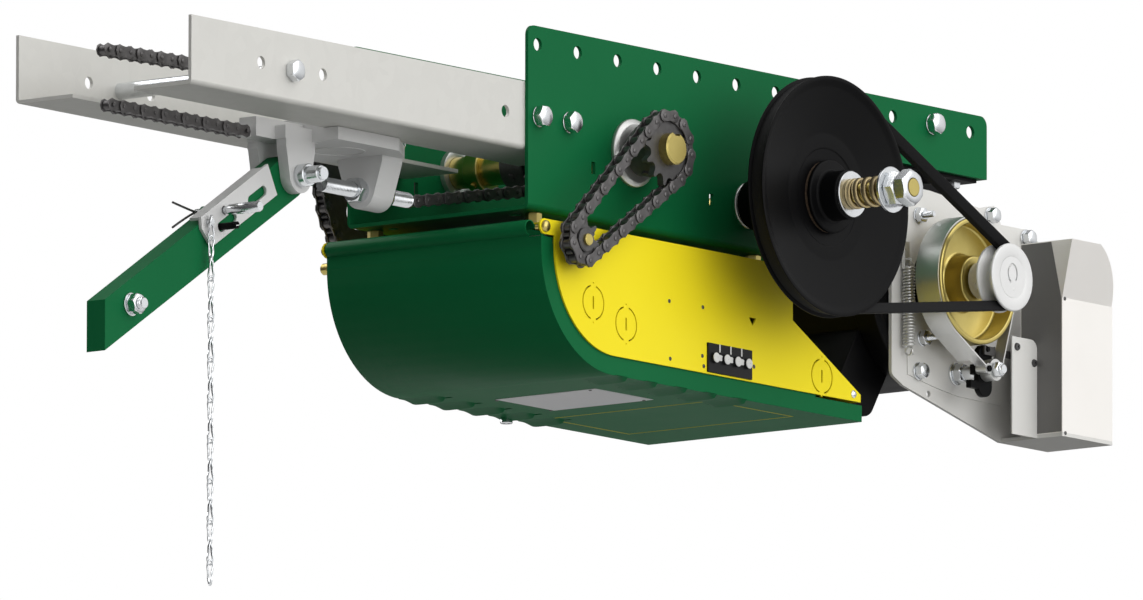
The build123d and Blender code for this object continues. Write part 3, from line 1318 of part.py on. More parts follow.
# Standoffs that hang the box under the chassis floor
standoffs = []
for x in (-270, 10):
    for y in (-78, 78):
        with BuildPart() as standoff:
            disc(Plane.XY.offset(box_top).move(Location((x, y, 0))), 6, chassis_floor - box_top)
        standoffs.append(standoff.part)
for side in (-1, 1):
    start = -box_half if side < 0 else box_half + 3.5
    with BuildPart() as tab_screw:
        disc(xz(start, tab_x, tab_z), 4.6, 3.5)
        stem = -box_half + 8 if side < 0 else box_half
        disc(xz(stem, tab_x, tab_z), 2.4, 8)
    standoffs.append(tab_screw.part)
write_group(standoffs, "box_fasteners")

cover_half = box_half - box_sheet - slide_gap
cover_sheet_box = 1.2
rim_depth = 22.0
cover_bottom_z = box_arc_z - box_arc_radius
lip_top = -153.0
bead_d = 12.8
bead_near_end = 14.5 - box_half
bead_far_end = box_half - 3.5


def cover_profile(inset):
    """Closed outline of the cover seen from the side, inset from its outer skin."""
    reach = box_arc_radius - inset
    mid = (box_arc_x - reach * sqrt(0.5), box_arc_z - reach * sqrt(0.5))
    right = box_cover_right - (inset if inset < 5 else 0)
    with BuildSketch() as outline:
        with BuildLine():
            Line((box_arc_x - reach, lip_top), (box_arc_x - reach, box_arc_z))
            ThreePointArc((box_arc_x - reach, box_arc_z), mid, (box_arc_x, box_arc_z - reach))
            Line((box_arc_x, box_arc_z - reach), (right, box_arc_z - reach))
            Line((right, box_arc_z - reach), (right, lip_top))
            Line((right, lip_top), (box_arc_x - reach, lip_top))
        make_face()
    return outline.sketch


with BuildPart() as box_cover:
    with BuildSketch(xz(cover_half)) as skin:
        add(cover_profile(0))
        add(cover_profile(cover_sheet_box), mode=Mode.SUBTRACT)
        with Locations((box_cover_right, (lip_top + cover_bottom_z + 14) / 2)):
            Rectangle(60, lip_top - cover_bottom_z - 14 + 2, mode=Mode.SUBTRACT)
    extrude(skin.sketch, amount=2 * cover_half)
    for side in (-1, 1):
        start = -cover_half + cover_sheet_box if side < 0 else cover_half
        with BuildSketch(xz(start)) as flange:
            add(cover_profile(0))
            add(cover_profile(rim_depth), mode=Mode.SUBTRACT)
            with Locations((box_cover_right, (lip_top + cover_bottom_z + 14) / 2)):
                Rectangle(120, lip_top - cover_bottom_z - 14 + 2, mode=Mode.SUBTRACT)
            with Locations((limit_x, limit_z)):
                Circle(15, mode=Mode.SUBTRACT)
        extrude(flange.sketch, amount=cover_sheet_box)
        # Hinge ear round the tab screw
        with BuildSketch(xz(start)) as hinge_ear:
            with Locations((tab_x, tab_z)):
                Circle(5)
            with Locations((tab_x, (tab_z + lip_top) / 2 - 3)):
                Rectangle(4.2, abs(tab_z - lip_top) + 8)
            with Locations((tab_x, tab_z)):
                Circle(2.4 + run_gap, mode=Mode.SUBTRACT)
        extrude(hinge_ear.sketch, amount=cover_sheet_box)
    # Rolled bead along the hinge line, open towards the box
    with BuildSketch(xz(bead_far_end)) as bead:
        with Locations((tab_x, tab_z)):
            Circle(bead_d / 2)
            Circle(bead_d / 2 - cover_sheet_box, mode=Mode.SUBTRACT)
        with Locations((tab_x + bead_d / 2, tab_z - bead_d / 4)):
            Rectangle(bead_d, bead_d / 2, mode=Mode.SUBTRACT)
        with Locations((box_arc_x - box_arc_radius + cover_sheet_box / 2, lip_top)):
            Rectangle(cover_sheet_box, 4)
    extrude(bead.sketch, amount=bead_far_end - bead_near_end)
    # Louver slots near both ends of the flat bottom
    with BuildSketch(Plane.XY.offset(cover_bottom_z - 1)) as louvers:
        for i in range(louver_count):
            for side in (-1, 1):
                with Locations((-186 + i * louver_pitch, side * 82)):
                    Rectangle(4, 28)
    extrude(louvers.sketch, amount=cover_sheet_box + 2, mode=Mode.SUBTRACT)
box_cover.part.label = "box_cover"
export_step(box_cover.part, "parts/box_cover.step")

# Components inside the box, hung from a panel under the end plates' lips
panel_top = box_top - box_sheet
panel_thick = 1.5
with BuildPart() as component_panel:
    box_between((-236, -box_half + box_sheet + 1, panel_top - panel_thick), (18, box_half - box_sheet - 1, panel_top))
component_panel.part.label = "component_panel"
export_step(component_panel.part, "parts/component_panel.step")

panel_low = panel_top - panel_thick
components = []
with BuildPart() as transformer:
    box_between((-60, -30, panel_low - 52), (10, 30, panel_low))
    box_between((-44, -40, panel_low - 44), (-6, 40, panel_low - 8))
components.append(transformer.part)
for y in (-62, 20):
    with BuildPart() as contactor:
        box_between((-150, y, panel_low - 46), (-96, y + 44, panel_low))
        box_between((-143, y + 6, panel_low - 60), (-103, y + 38, panel_low - 46))
    components.append(contactor.part)
with BuildPart() as control_board:
    box_between((-226, -70, panel_low - 12), (-166, 70, panel_low - 10.4))
    for y in (-50, -15, 20):
        box_between((-214, y, panel_low - 28), (-186, y + 22, panel_low - 12))
    for x, y in ((-220, -64), (-172, -64), (-220, 64), (-172, 64)):
        box_between((x - 2, y - 2, panel_low - 10.4), (x + 2, y + 2, panel_low))
components.append(control_board.part)
write_group(components, "control_components")

# Terminal strip in the near plate
with BuildPart() as terminal_strip:
    box_between((-87.5, -box_half - 1.5, -235.7), (-31.1, -box_half + box_sheet, -212.7))
    for i in range(4):
        disc(xz(-box_half - 1.5, -80 + i * 14, -224), 4.2, 2.2)
terminal_strip.part.label = "terminal_strip"
export_step(terminal_strip.part, "parts/terminal_strip.step")
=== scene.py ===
"""Looks of the commercial door operator: finishes, studio and the finely shaped pieces.

Every length is in millimetres unless a note says otherwise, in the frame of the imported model:
X runs along the rails towards the motor, Y away from the clutch side, Z up.
"""

import bpy
import numpy as np
from mathutils import Matrix, Vector
from mathutils.geometry import tessellate_polygon


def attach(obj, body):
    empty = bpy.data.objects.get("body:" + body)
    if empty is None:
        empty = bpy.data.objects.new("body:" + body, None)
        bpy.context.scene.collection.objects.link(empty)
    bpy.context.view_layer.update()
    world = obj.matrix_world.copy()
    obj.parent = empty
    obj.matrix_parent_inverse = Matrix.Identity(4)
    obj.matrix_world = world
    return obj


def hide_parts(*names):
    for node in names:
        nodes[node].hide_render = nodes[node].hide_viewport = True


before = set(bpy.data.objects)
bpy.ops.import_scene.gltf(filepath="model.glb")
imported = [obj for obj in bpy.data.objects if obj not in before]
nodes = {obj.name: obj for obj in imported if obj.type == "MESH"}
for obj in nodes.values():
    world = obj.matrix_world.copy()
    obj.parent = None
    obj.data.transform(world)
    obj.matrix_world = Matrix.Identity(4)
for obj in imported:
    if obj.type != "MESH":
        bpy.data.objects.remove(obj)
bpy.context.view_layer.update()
METRES = 0.001
TURN = 2 * np.pi

# Axes that the turning pieces share, as (x, z)
DRIVE = (-159.6, -70.8)
CLUTCH = (-10.437, -94.158)
LIMIT = (-266.566, -154.974)
MOTOR = (218.4, -131.1)
LEVER = (242.9, -198.8)
ARM_PIVOT = (-486.9, -121.8)
ARM_SLOPE = np.radians(31.9)
LATCH_PIN = (-572.51, -158.36)
HINGE = (-293.9, -145.8)

# Faces of the folded sheets
FRAME_SIDE, FRAME_INSIDE, RAIL_INSIDE = 89.0, 86.0, 83.0
BOX_SIDE, BOX_SHEET = 107.5, 1.5
NEAR_FACE = -BOX_SIDE
BOX_TOP = -139.7
COVER_FLOOR = -252.0
BRACKET_FRONT = -100.0

# Roller chain, and the sprockets' tooth counts and planes along Y
CHAIN_PITCH = 12.7
ROLLER = 7.77
LINK_HALF_HEIGHT = 5.2
DRIVE_TEETH, PINION_TEETH, WHEEL_TEETH = 10, 10, 42
LIMIT_DRIVE_TEETH, LIMIT_TEETH = 13, 8
TROLLEY_PLANE, LIMIT_PLANE, FAR_PLANE = 0.0, -122.0, 153.0
LIMIT_RUN, FAR_RUN = -141.8, -8.9  # degrees from +X to the line between the closed chains' two wheels


# Colours and shader nodes

def ink(code):
    """The linear colour of a web colour such as 16643D."""
    parts = np.array([int(code[i:i + 2], 16) for i in (0, 2, 4)]) / 255
    linear = np.where(parts <= 0.04045, parts / 12.92, ((parts + 0.055) / 1.055) ** 2.4)
    return (*linear, 1.0)


def per_mm(size):
    """The texture scale at which one feature of a pattern is size millimetres wide."""
    return 1000.0 / size


def add(material, kind, inputs=None, **settings):
    """Adds one node. inputs maps socket names or places to values or to other nodes' outputs."""
    made = material.node_tree.nodes.new(kind)
    for name, value in settings.items():
        setattr(made, name, value)
    for name, value in (inputs or {}).items():
        socket = made.inputs[name]
        if isinstance(value, bpy.types.NodeSocket):
            material.node_tree.links.new(value, socket)
        else:
            socket.default_value = value
    return made


def begin(name, **shader):
    """A new material, its shader with the given sockets set, and the place of a point on the object."""
    material = bpy.data.materials.new(name)
    material.use_nodes = True
    main = material.node_tree.nodes["Principled BSDF"]
    for socket, value in shader.items():
        main.inputs[socket.replace("_", " ")].default_value = value
    place = add(material, "ShaderNodeTexCoord").outputs["Object"]
    return material, main, place


def vary(material, shader, tone, colours, sheen, roughness, grain=None, depth=0.0, strength=1.0):
    """Lets patterns vary a surface: tone between two colours, sheen between two roughnesses, grain in height.

    Each is linear in its pattern's value, and depth, in millimetres, is the height of grain's full step.
    """
    links = material.node_tree.links
    mixed = add(material, "ShaderNodeMix", {0: tone, 6: colours[0], 7: colours[1]}, data_type="RGBA")
    links.new(mixed.outputs[2], shader.inputs["Base Color"])
    ranged = add(material, "ShaderNodeMapRange",
                 {"Value": sheen, "To Min": roughness[0], "To Max": roughness[1]})
    links.new(ranged.outputs["Result"], shader.inputs["Roughness"])
    if grain:
        bump = add(material, "ShaderNodeBump",
                   {"Height": grain, "Distance": depth * METRES, "Strength": strength})
        links.new(bump.outputs["Normal"], shader.inputs["Normal"])


def baked_enamel(name, colour, worn, peel_size=3.0, shine=0.12):
    """Gloss alkyd enamel sprayed on sheet steel and baked.

    Gives the eye one even, deep colour, with faint orange peel in a low shine and cloudy dust.
    """
    material, shader, place = begin(name, Specular_IOR_Level=shine)
    cloud = add(material, "ShaderNodeTexNoise",
                {"Vector": place, "Scale": per_mm(120), "Detail": 5.0}).outputs["Fac"]
    peel = add(material, "ShaderNodeTexNoise",
               {"Vector": place, "Scale": per_mm(peel_size), "Detail": 2.0}).outputs["Fac"]
    vary(material, shader, cloud, (colour, worn), cloud, (0.36, 0.5), peel, 0.03, 0.3)
    return material


def rolled_metal(name, colour, darker, rough, metallic=1.0, along="X"):
    """Cold rolled steel under a thin metal coat, brushed faintly one way by the rolls.

    Gives the eye a soft stretched glare with fine lines along the sheet.
    """
    material, shader, place = begin(name, Metallic=metallic)
    streak, depth = 1.2, 0.012
    stretch = {"X": (0.04, 1.0, 1.0), "Y": (1.0, 0.04, 1.0), "Z": (1.0, 1.0, 0.04)}[along]
    drawn = add(material, "ShaderNodeMapping", {"Vector": place, "Scale": stretch})
    lines = add(material, "ShaderNodeTexNoise",
                {"Vector": drawn.outputs["Vector"], "Scale": per_mm(streak), "Detail": 3.0}).outputs["Fac"]
    cloud = add(material, "ShaderNodeTexNoise",
                {"Vector": place, "Scale": per_mm(60), "Detail": 4.0}).outputs["Fac"]
    vary(material, shader, cloud, (colour, darker), lines, (rough - 0.06, rough + 0.08), lines, depth, 0.5)
    return material


def hot_dip_galvanised(name, colour, darker):
    """Hot dip galvanised sheet, its zinc frozen in spangles.

    Gives the eye a pale matt grey in which flat crystals a thumb wide catch the light a little differently.
    """
    material, shader, place = begin(name, Metallic=0.15, Specular_IOR_Level=0.3)
    spangle = add(material, "ShaderNodeTexVoronoi", {"Vector": place, "Scale": per_mm(9)})
    grains = add(material, "ShaderNodeSeparateColor", {"Color": spangle.outputs["Color"]}).outputs
    fine = add(material, "ShaderNodeTexNoise",
               {"Vector": place, "Scale": per_mm(1.4), "Detail": 3.0}).outputs["Fac"]
    vary(material, shader, grains["Red"], (colour, darker), grains["Green"], (0.42, 0.48), fine, 0.015, 0.4)
    return material


def plated(name, colour, darker, rough):
    """Turned or headed steel under electroplated zinc, clear or yellow passivated.

    Gives the eye a bright metal whose tone drifts a little over each part, with faint tool marks.
    """
    material, shader, place = begin(name, Metallic=1.0)
    drift = add(material, "ShaderNodeTexNoise",
                {"Vector": place, "Scale": per_mm(14), "Detail": 4.0}).outputs["Fac"]
    marks = add(material, "ShaderNodeTexNoise",
                {"Vector": place, "Scale": per_mm(0.9), "Detail": 2.0}).outputs["Fac"]
    vary(material, shader, drift, (colour, darker), drift, (rough - 0.07, rough + 0.1), marks, 0.01, 0.4)
    return material


def sand_cast(name, colour, darker, metallic=0.3, rough=0.55, grain=1.6):
    """Metal cast in sand or a die and left as it came, only its working faces machined.

    Gives the eye a dry pale grey with a fine pebbled skin.
    """
    material, shader, place = begin(name, Metallic=metallic)
    pebble = add(material, "ShaderNodeTexNoise",
                 {"Vector": place, "Scale": per_mm(grain), "Detail": 5.0}).outputs["Fac"]
    cloud = add(material, "ShaderNodeTexNoise",
                {"Vector": place, "Scale": per_mm(40), "Detail": 4.0}).outputs["Fac"]
    vary(material, shader, cloud, (colour, darker), pebble, (rough - 0.08, rough + 0.1), pebble, 0.08, 0.5)
    return material


def oiled_black_steel(name, colour, darker, rough=0.42, metallic=0.75):
    """Hardened steel with a black oxide skin under a film of chain oil.

    Gives the eye a near black metal with warm soft glints on its edges.
    """
    material, shader, place = begin(name, Metallic=metallic)
    film = add(material, "ShaderNodeTexNoise",
               {"Vector": place, "Scale": per_mm(5), "Detail": 5.0}).outputs["Fac"]
    vary(material, shader, film, (colour, darker), film, (rough - 0.12, rough + 0.14))
    return material


def moulded(name, colour, darker, rough=0.45):
    """Injection moulded plastic from a spark-eroded tool.

    Gives the eye an even satin face with a very fine leathery grain.
    """
    material, shader, place = begin(name, Specular_IOR_Level=0.2)
    leather = add(material, "ShaderNodeTexNoise",
                  {"Vector": place, "Scale": per_mm(0.8), "Detail": 2.0}).outputs["Fac"]
    cloud = add(material, "ShaderNodeTexNoise",
                {"Vector": place, "Scale": per_mm(50), "Detail": 3.0}).outputs["Fac"]
    vary(material, shader, cloud, (colour, darker), leather, (rough - 0.05, rough + 0.08),
         leather, 0.02, 0.4)
    return material


def belt_rubber():
    """Rubber V belt wrapped in a woven cover, its weave drawn coarser than the real 0.6 mm.

    Gives the eye a matt black band with a faint cross-hatched cloth and dusty flanks.
    """
    material, shader, place = begin("belt_rubber", Specular_IOR_Level=0.15)
    ribs = add(material, "ShaderNodeTexWave", {"Vector": place, "Scale": per_mm(7), "Distortion": 1.0},
               bands_direction="DIAGONAL").outputs["Fac"]
    dust = add(material, "ShaderNodeTexNoise",
               {"Vector": place, "Scale": per_mm(20), "Detail": 5.0}).outputs["Fac"]
    vary(material, shader, dust, (ink("0C0C0D"), ink("1A1A1B")), dust, (0.62, 0.8), ribs, 0.05, 0.3)
    return material


def pressed_friction_board():
    """Clutch facing pressed from fibre, resin and brass dust.

    Gives the eye a dull brown face freckled with short pale fibres.
    """
    material, shader, place = begin("pressed_friction_board")
    fibre = add(material, "ShaderNodeTexVoronoi", {"Vector": place, "Scale": per_mm(1.5)}).outputs["Distance"]
    vary(material, shader, fibre, (ink("6B5844"), ink("3B2E24")), fibre, (0.75, 0.9), fibre, 0.06, 0.5)
    return material


GREEN = baked_enamel("green_baked_enamel", ink("126A3D"), ink("0F6439"), shine=0.05)
YELLOW = baked_enamel("yellow_baked_enamel", ink("FFEC28"), ink("FAE41F"), shine=0.1)
BLACK_ENAMEL = baked_enamel("black_baked_enamel", ink("0B0B0C"), ink("070708"), 2.2, shine=0.07)
RAIL_ZINC = hot_dip_galvanised("galvanised_rail_sheet", ink("D5D4CF"), ink("D2D1CC"))
GREY_PAINT = baked_enamel("pale_grey_bracket_paint", ink("E2E1DD"), ink("DCDBD7"), shine=0.15)
BRIGHT_SHEET = rolled_metal("bright_cover_sheet", ink("F7F4F0"), ink("EFECE7"), 0.34, 0.5, along="Z")
# Painted shade: a darker grey sheet for the solenoid cover's left side, which is the same bright sheet in
# shade
SHADE_PAINTED_FLANK_SHEET = rolled_metal("shade_painted_grey_side_sheet", ink("777674"), ink("6D6C6A"), 0.5, 0.15, along="Z")
BRIGHT_ZINC = plated("bright_zinc_plate", ink("E6E8EA"), ink("CDD0D3"), 0.2)
YELLOW_ZINC = plated("yellow_zinc_plate", ink("C9B973"), ink("B3A25C"), 0.3)
GOLD_SPRING = plated("gold_dipped_spring_steel", ink("C8B27A"), ink("A79A80"), 0.36)
CASTING = sand_cast("grey_trolley_casting", ink("DADAD9"), ink("D0D0CF"), 0.1)
DIE_CAST = sand_cast("die_cast_motor_pulley", ink("E8E8E7"), ink("DEDEDD"), 0.2, 0.42, 1.0)
CHAIN_STEEL = oiled_black_steel("oiled_chain_steel", ink("6A6868"), ink("4E4C4C"), 0.4, 0.8)
BLACK_STEEL = oiled_black_steel("black_oxide_sprocket_steel", ink("5E5D5D"), ink("454444"), 0.45, 0.6)
BEARING_STEEL = rolled_metal("pressed_bearing_flange", ink("D6D6D4"), ink("C6C6C4"), 0.34, 0.8, along="Z")
BLACK_PLASTIC = moulded("black_moulded_plastic", ink("151516"), ink("101011"))
PALE_PLASTIC = moulded("grey_component_plastic", ink("6E7274"), ink("5C6062"))
BELT = belt_rubber()
FRICTION = pressed_friction_board()
# Screen print: a thin matt skin of ink, even in tone, with the fine grain of what it lies on
WHITE_PRINT = moulded("white_screen_print", ink("E9E9E6"), ink("DCDCD8"), 0.6)
YELLOW_PRINT = moulded("yellow_screen_print", ink("D8D23C"), ink("C6C034"), 0.6)
LABEL_FOIL = rolled_metal("aluminium_rating_plate", ink("ECECEE"), ink("E2E2E4"), 0.42, 0.15, along="Y")


# Shapes: each returns (points, faces), points in millimetres

AXES = {
    "near": ((1, 0, 0), (0, 0, 1), (0, -1, 0)),
    "far": ((-1, 0, 0), (0, 0, 1), (0, 1, 0)),
    "up": ((1, 0, 0), (0, 1, 0), (0, 0, 1)),
    "down": ((1, 0, 0), (0, -1, 0), (0, 0, -1)),
    "right": ((0, 1, 0), (0, 0, 1), (1, 0, 0)),
}


def facing(way, origin):
    """A function that carries flat arrays (a, b, rise) to the row frame, rise pointing the named way."""
    across, upward, out = (np.array(v, float) for v in AXES[way])
    start = np.array(origin, float)

    def carry(a, b, rise):
        """The origin and the three directions, each times its number."""
        a, b, rise = np.broadcast_arrays(a, b, rise)
        return start + a[..., None] * across + b[..., None] * upward + rise[..., None] * out
    return carry


def on_shaft(axis):
    """Carries (a, b, y) to the row frame round a shaft along Y at axis = (x, z)."""
    def carry(a, b, y):
        """The shaft's x and z with a and b added, at y."""
        a, b, y = np.broadcast_arrays(a, b, y)
        return np.stack([axis[0] + a, y + 0.0 * a, axis[1] + b], -1)
    return carry


upright = on_shaft((0, 0))  # carries (a, b, y) to a as x and b as z


def laid_flat(a, b, rise):
    """Carries (a, b) to x and y at the height rise."""
    return np.stack([a, b, rise + 0.0 * a], -1)


def skin(grid, around=True, along=False):
    """Quads between neighbouring rows of a grid of points.

    around closes each row on itself, and along joins the last row to the first. A skin that is closed
    around but not along gets a cap at both ends.
    """
    rows, count = grid.shape[:2]
    index = np.arange(rows * count).reshape(rows, count)
    next_row = np.roll(index, -1, 0) if along else index[1:]
    here = index if along else index[:-1]
    if around:
        quads = np.stack([here, np.roll(here, -1, 1), np.roll(next_row, -1, 1), next_row], -1)
    else:
        quads = np.stack([here[:, :-1], here[:, 1:], next_row[:, 1:], next_row[:, :-1]], -1)
    faces = quads.reshape(-1, 4).tolist()
    if around and not along:
        faces.append(index[0][::-1].tolist())
        faces.append(index[-1].tolist())
    return grid.reshape(-1, 3), faces


def turned(profile, carry, steps=64, ring=False):
    """A profile of (radius, rise) points turned once round. A ring's profile closes on itself."""
    profile = np.array(profile, float)
    angle = np.arange(steps) * TURN / steps
    grid = carry(profile[:, :1] * np.cos(angle), profile[:, :1] * np.sin(angle), profile[:, 1:])
    return skin(grid, along=ring)


def rounded(profile, radius, steps=4, closed=False):
    """A profile whose corners are arcs: each corner point is replaced by a short quadratic curve."""
    points = np.array(profile, float)
    before, after = np.roll(points, 1, 0), np.roll(points, -1, 0)
    back, ahead = before - points, after - points
    reach = np.minimum(np.linalg.norm(back, axis=1), np.linalg.norm(ahead, axis=1)) / 2.1
    cut = np.minimum(reach, radius)[:, None]
    start = points + back / np.linalg.norm(back, axis=1)[:, None] * cut
    end = points + ahead / np.linalg.norm(ahead, axis=1)[:, None] * cut
    t = np.linspace(0, 1, steps)[None, :, None]
    curve = (1 - t) ** 2 * start[:, None] + 2 * t * (1 - t) * points[:, None] + t ** 2 * end[:, None]
    if closed:
        return curve.reshape(-1, 2)
    return np.concatenate([points[:1], curve[1:-1].reshape(-1, 2), points[-1:]])


def turned_ring(profile, edge, carry, steps, arc=3):
    """A ring turned from a closed profile, each of its corners an arc of the edge's size."""
    return turned(rounded(profile, edge, arc, closed=True), carry, steps, ring=True)


def hexagon_nut(flats, low, high, carry, bore=0.0, both=True, turn=0.0, steps=72):
    """A hexagon whose corners are cut by a 30 degree cone.

    The radius at each angle is the lesser of the hexagon's and of the cone's at that height.
    """
    angle = np.arange(steps) * TURN / steps
    side = np.cos((angle + turn) % (TURN / 6) - TURN / 12)
    wall = flats / 2 / side
    fall = (2 / np.sqrt(3) - 0.95) * flats / 2 * np.tan(TURN / 12)
    drops = fall * np.linspace(1, 0, 5)
    if both:
        rows = [(low + fall - d, 0.95 * flats / 2 + (fall - d) / np.tan(TURN / 12)) for d in drops]
    else:
        rows = [(low, flats)]
    rows += [(high - d, 0.95 * flats / 2 + d / np.tan(TURN / 12)) for d in drops]
    radii = [np.minimum(wall, cone) for _, cone in rows]
    rises = [rise for rise, _ in rows]
    if bore:
        radii = [np.full(steps, bore)] + radii + [np.full(steps, bore)]
        rises = [low] + rises + [high]
    radii = np.array(radii)
    grid = carry(radii * np.cos(angle), radii * np.sin(angle), np.array(rises)[:, None])
    return skin(grid, along=bool(bore))


def threaded(radius, low, high, pitch, carry, steps=32):
    """A screw thread: the radius falls by a rounded tooth that climbs one pitch each turn."""
    rows = max(8, int(abs(high - low) / pitch * 6))
    angle = np.arange(steps) * TURN / steps
    rise = np.linspace(low, high, rows)[:, None]
    tooth = np.abs(((rise / pitch + angle / TURN) % 1.0) * 2 - 1)
    deep = 0.6 * pitch * (1 - np.clip(tooth * 1.25 - 0.1, 0, 1))
    taper = np.clip((high - rise) / (high - low) * abs(high - low) / pitch, 0, 1)
    reach = radius - deep * taper - 0.5 * pitch * (1 - taper)
    return skin(carry(reach * np.cos(angle), reach * np.sin(angle), rise))


def slab(outline, low, high, carry, holes=()):
    """A flat outline with holes, thickened from low to high."""
    loops = [np.array(loop, float) for loop in (outline, *holes)]
    flat = [[Vector((*p, 0)) for p in loop] for loop in loops]
    caps = tessellate_polygon(flat)
    joined = np.concatenate(loops)
    count = len(joined)
    points = np.concatenate([carry(joined[:, 0], joined[:, 1], np.full(count, float(rise)))
                             for rise in (low, high)])
    area = np.cross(joined[[c[1] for c in caps]] - joined[[c[0] for c in caps]],
                    joined[[c[2] for c in caps]] - joined[[c[0] for c in caps]])
    faces = []
    for cap, size in zip(caps, area):
        cap = list(cap) if size > 0 else list(cap)[::-1]
        faces += [[i + count for i in cap], cap[::-1]]
    start = 0
    for number, loop in enumerate(loops):
        index = np.arange(len(loop)) + start
        signed = np.sum(np.cross(loop, np.roll(loop, -1, 0)))
        if (signed > 0) != (number == 0):
            index = index[::-1]
        ahead = np.roll(index, -1)
        faces += np.stack([index, ahead, ahead + count, index + count], -1).tolist()
        start += len(loop)
    return points, faces


def circle(x, z, radius, steps=32):
    """Points of a circle in a flat outline."""
    angle = np.arange(steps) * TURN / steps
    return np.stack([x + radius * np.cos(angle), z + radius * np.sin(angle)], -1)


def rectangle(left, low, right, high):
    """The corners of a rectangle in a flat outline, anticlockwise from its lower left."""
    return [(left, low), (right, low), (right, high), (left, high)]


def slot_outline(x, z, length, width, turn=0.0, steps=10):
    """Points of a slot with round ends, length overall."""
    half = (length - width) / 2
    right = np.linspace(-np.pi / 2, np.pi / 2, steps)
    a = np.concatenate([half + width / 2 * np.cos(right), -half - width / 2 * np.cos(right)])
    b = np.concatenate([width / 2 * np.sin(right), -width / 2 * np.sin(right)])
    return np.stack([x + a * np.cos(turn) - b * np.sin(turn), z + a * np.sin(turn) + b * np.cos(turn)], -1)


def tube(path, section, closed=False, guide=(0, 0, 1)):
    """A flat section of (side, top) points carried along a path, its top leaning to the guide direction."""
    path = np.array(path, float)
    section = np.array(section, float)
    ahead = np.roll(path, -1, 0) - np.roll(path, 1, 0) if closed else np.gradient(path, axis=0)
    ahead /= np.linalg.norm(ahead, axis=1)[:, None]
    guide = np.broadcast_to(np.array(guide, float), path.shape)
    side = np.cross(ahead, guide)
    side /= np.linalg.norm(side, axis=1)[:, None]
    top = np.cross(side, ahead)
    grid = path[:, None] + section[None, :, :1] * side[:, None] + section[None, :, 1:] * top[:, None]
    return skin(grid, along=closed)


def wire(radius, steps=10):
    """The round section of a wire."""
    return circle(0, 0, radius, steps)


def copies(part, origins, across, out=(0.0, -1.0, 0.0)):
    """One flat-laid part repeated: its X goes along across and its Y along out at each origin."""
    points, faces = part
    origins = np.array(origins, float)
    across = np.broadcast_to(np.array(across, float), origins.shape)
    out = np.broadcast_to(np.array(out, float), origins.shape)
    upward = np.cross(across, out)
    frames = np.stack([across, out, upward], 1)
    placed = origins[:, None] + np.einsum("pk,nkj->npj", points, frames)
    count = len(points)
    all_faces = [[i + count * n for i in face] for n in range(len(origins)) for face in faces]
    return placed.reshape(-1, 3), all_faces


def local(a, b, rise):
    """Carries a part's own flat arrays to its own frame: X along, Z up, Y outwards."""
    a, b, rise = np.broadcast_arrays(a, b, rise)
    return np.stack([a, rise + 0.0 * a, b], -1)


def outward(part):
    """The part with its faces turned outwards, judged by the sign of its volume."""
    points, faces = part
    centred = points - points.mean(0)
    volume = 0.0
    for size in (3, 4):
        some = np.array([f for f in faces if len(f) == size])
        for corner in range(1, size - 1) if len(some) else ():
            a, b, c = centred[some[:, 0]], centred[some[:, corner]], centred[some[:, corner + 1]]
            volume += np.einsum("ij,ij->", a, np.cross(b, c))
    for face in faces:
        if len(face) > 4:
            ring = centred[face]
            volume += np.einsum("ij,ij->", np.broadcast_to(ring[0], ring[1:-1].shape),
                                np.cross(ring[1:-1], ring[2:]))
    return (points, faces) if volume >= 0 else (points, [face[::-1] for face in faces])


def piece(name, parts, material, body, stands_for=(), soft=0.0, crease=38.0):
    """One shown piece of the object made of closed parts, riding on a body of the model."""
    points, faces, start = [], [], 0
    for part in parts:
        part_points, part_faces = outward(part)
        points.append(part_points)
        faces += [[i + start for i in face] for face in part_faces]
        start += len(part_points)
    mesh = bpy.data.meshes.new(name)
    mesh.from_pydata((np.concatenate(points) * METRES).tolist(), [], faces)
    mesh.validate()
    mesh.materials.append(material)
    mesh.shade_smooth()
    mesh.set_sharp_from_angle(angle=np.radians(crease))
    made = bpy.data.objects.new(name, mesh)
    bpy.context.scene.collection.objects.link(made)
    if soft:
        soften(made, soft)
    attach(made, body)
    if stands_for:
        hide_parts(*([stands_for] if isinstance(stands_for, str) else stands_for))
    return made


def soften(made, width, segments=2):
    """Rounds the sharp edges of a piece by width."""
    bevel = made.modifiers.new("soft_edges", "BEVEL")
    bevel.width = width * METRES
    bevel.segments = segments
    bevel.limit_method = "ANGLE"
    bevel.angle_limit = np.radians(40)
    bevel.harden_normals = True


def finish_node(name, material, round_off=0.0):
    """Gives a model piece its finish, and with round_off a small radius on its edges."""
    shown = nodes[name]
    shown.data.materials.clear()
    shown.data.materials.append(material)
    if round_off:
        weld = shown.modifiers.new("joined_corners", "WELD")
        weld.merge_threshold = 0.00002
        whole = shown.modifiers.new("whole_flat_faces", "DECIMATE")
        whole.decimate_type = "DISSOLVE"
        whole.angle_limit = np.radians(0.5)
        soften(shown, round_off)


# Chains and sprockets

def pitch_radius(teeth):
    """The radius of a sprocket's pitch circle: half the pitch over the sine of half a tooth's angle."""
    return CHAIN_PITCH / 2 / np.sin(np.pi / teeth)


def link_outline(steps=7):
    """A waisted link plate: round ends about both pins, drawn in between them by a cosine."""
    half, height = CHAIN_PITCH / 2, LINK_HALF_HEIGHT
    turn = np.linspace(-0.5, 0.5, steps) * np.radians(250)
    end = np.stack([half + height * np.cos(turn), height * np.sin(turn)], -1)
    waist = np.array([[0.0, height * 0.74]])
    return np.concatenate([end, waist, -end, -waist])


def link_plate(y_middle, thick=1.3):
    """One plate of a roller chain link, its faces slightly domed by the punch."""
    outline = link_outline()
    small = outline * 0.93
    rows = [(small, -thick / 2), (outline, -thick / 2 + 0.25), (outline, thick / 2 - 0.25),
            (small, thick / 2)]
    grid = np.stack([local(o[:, 0], o[:, 1], y_middle + y) for o, y in rows])
    return skin(grid)


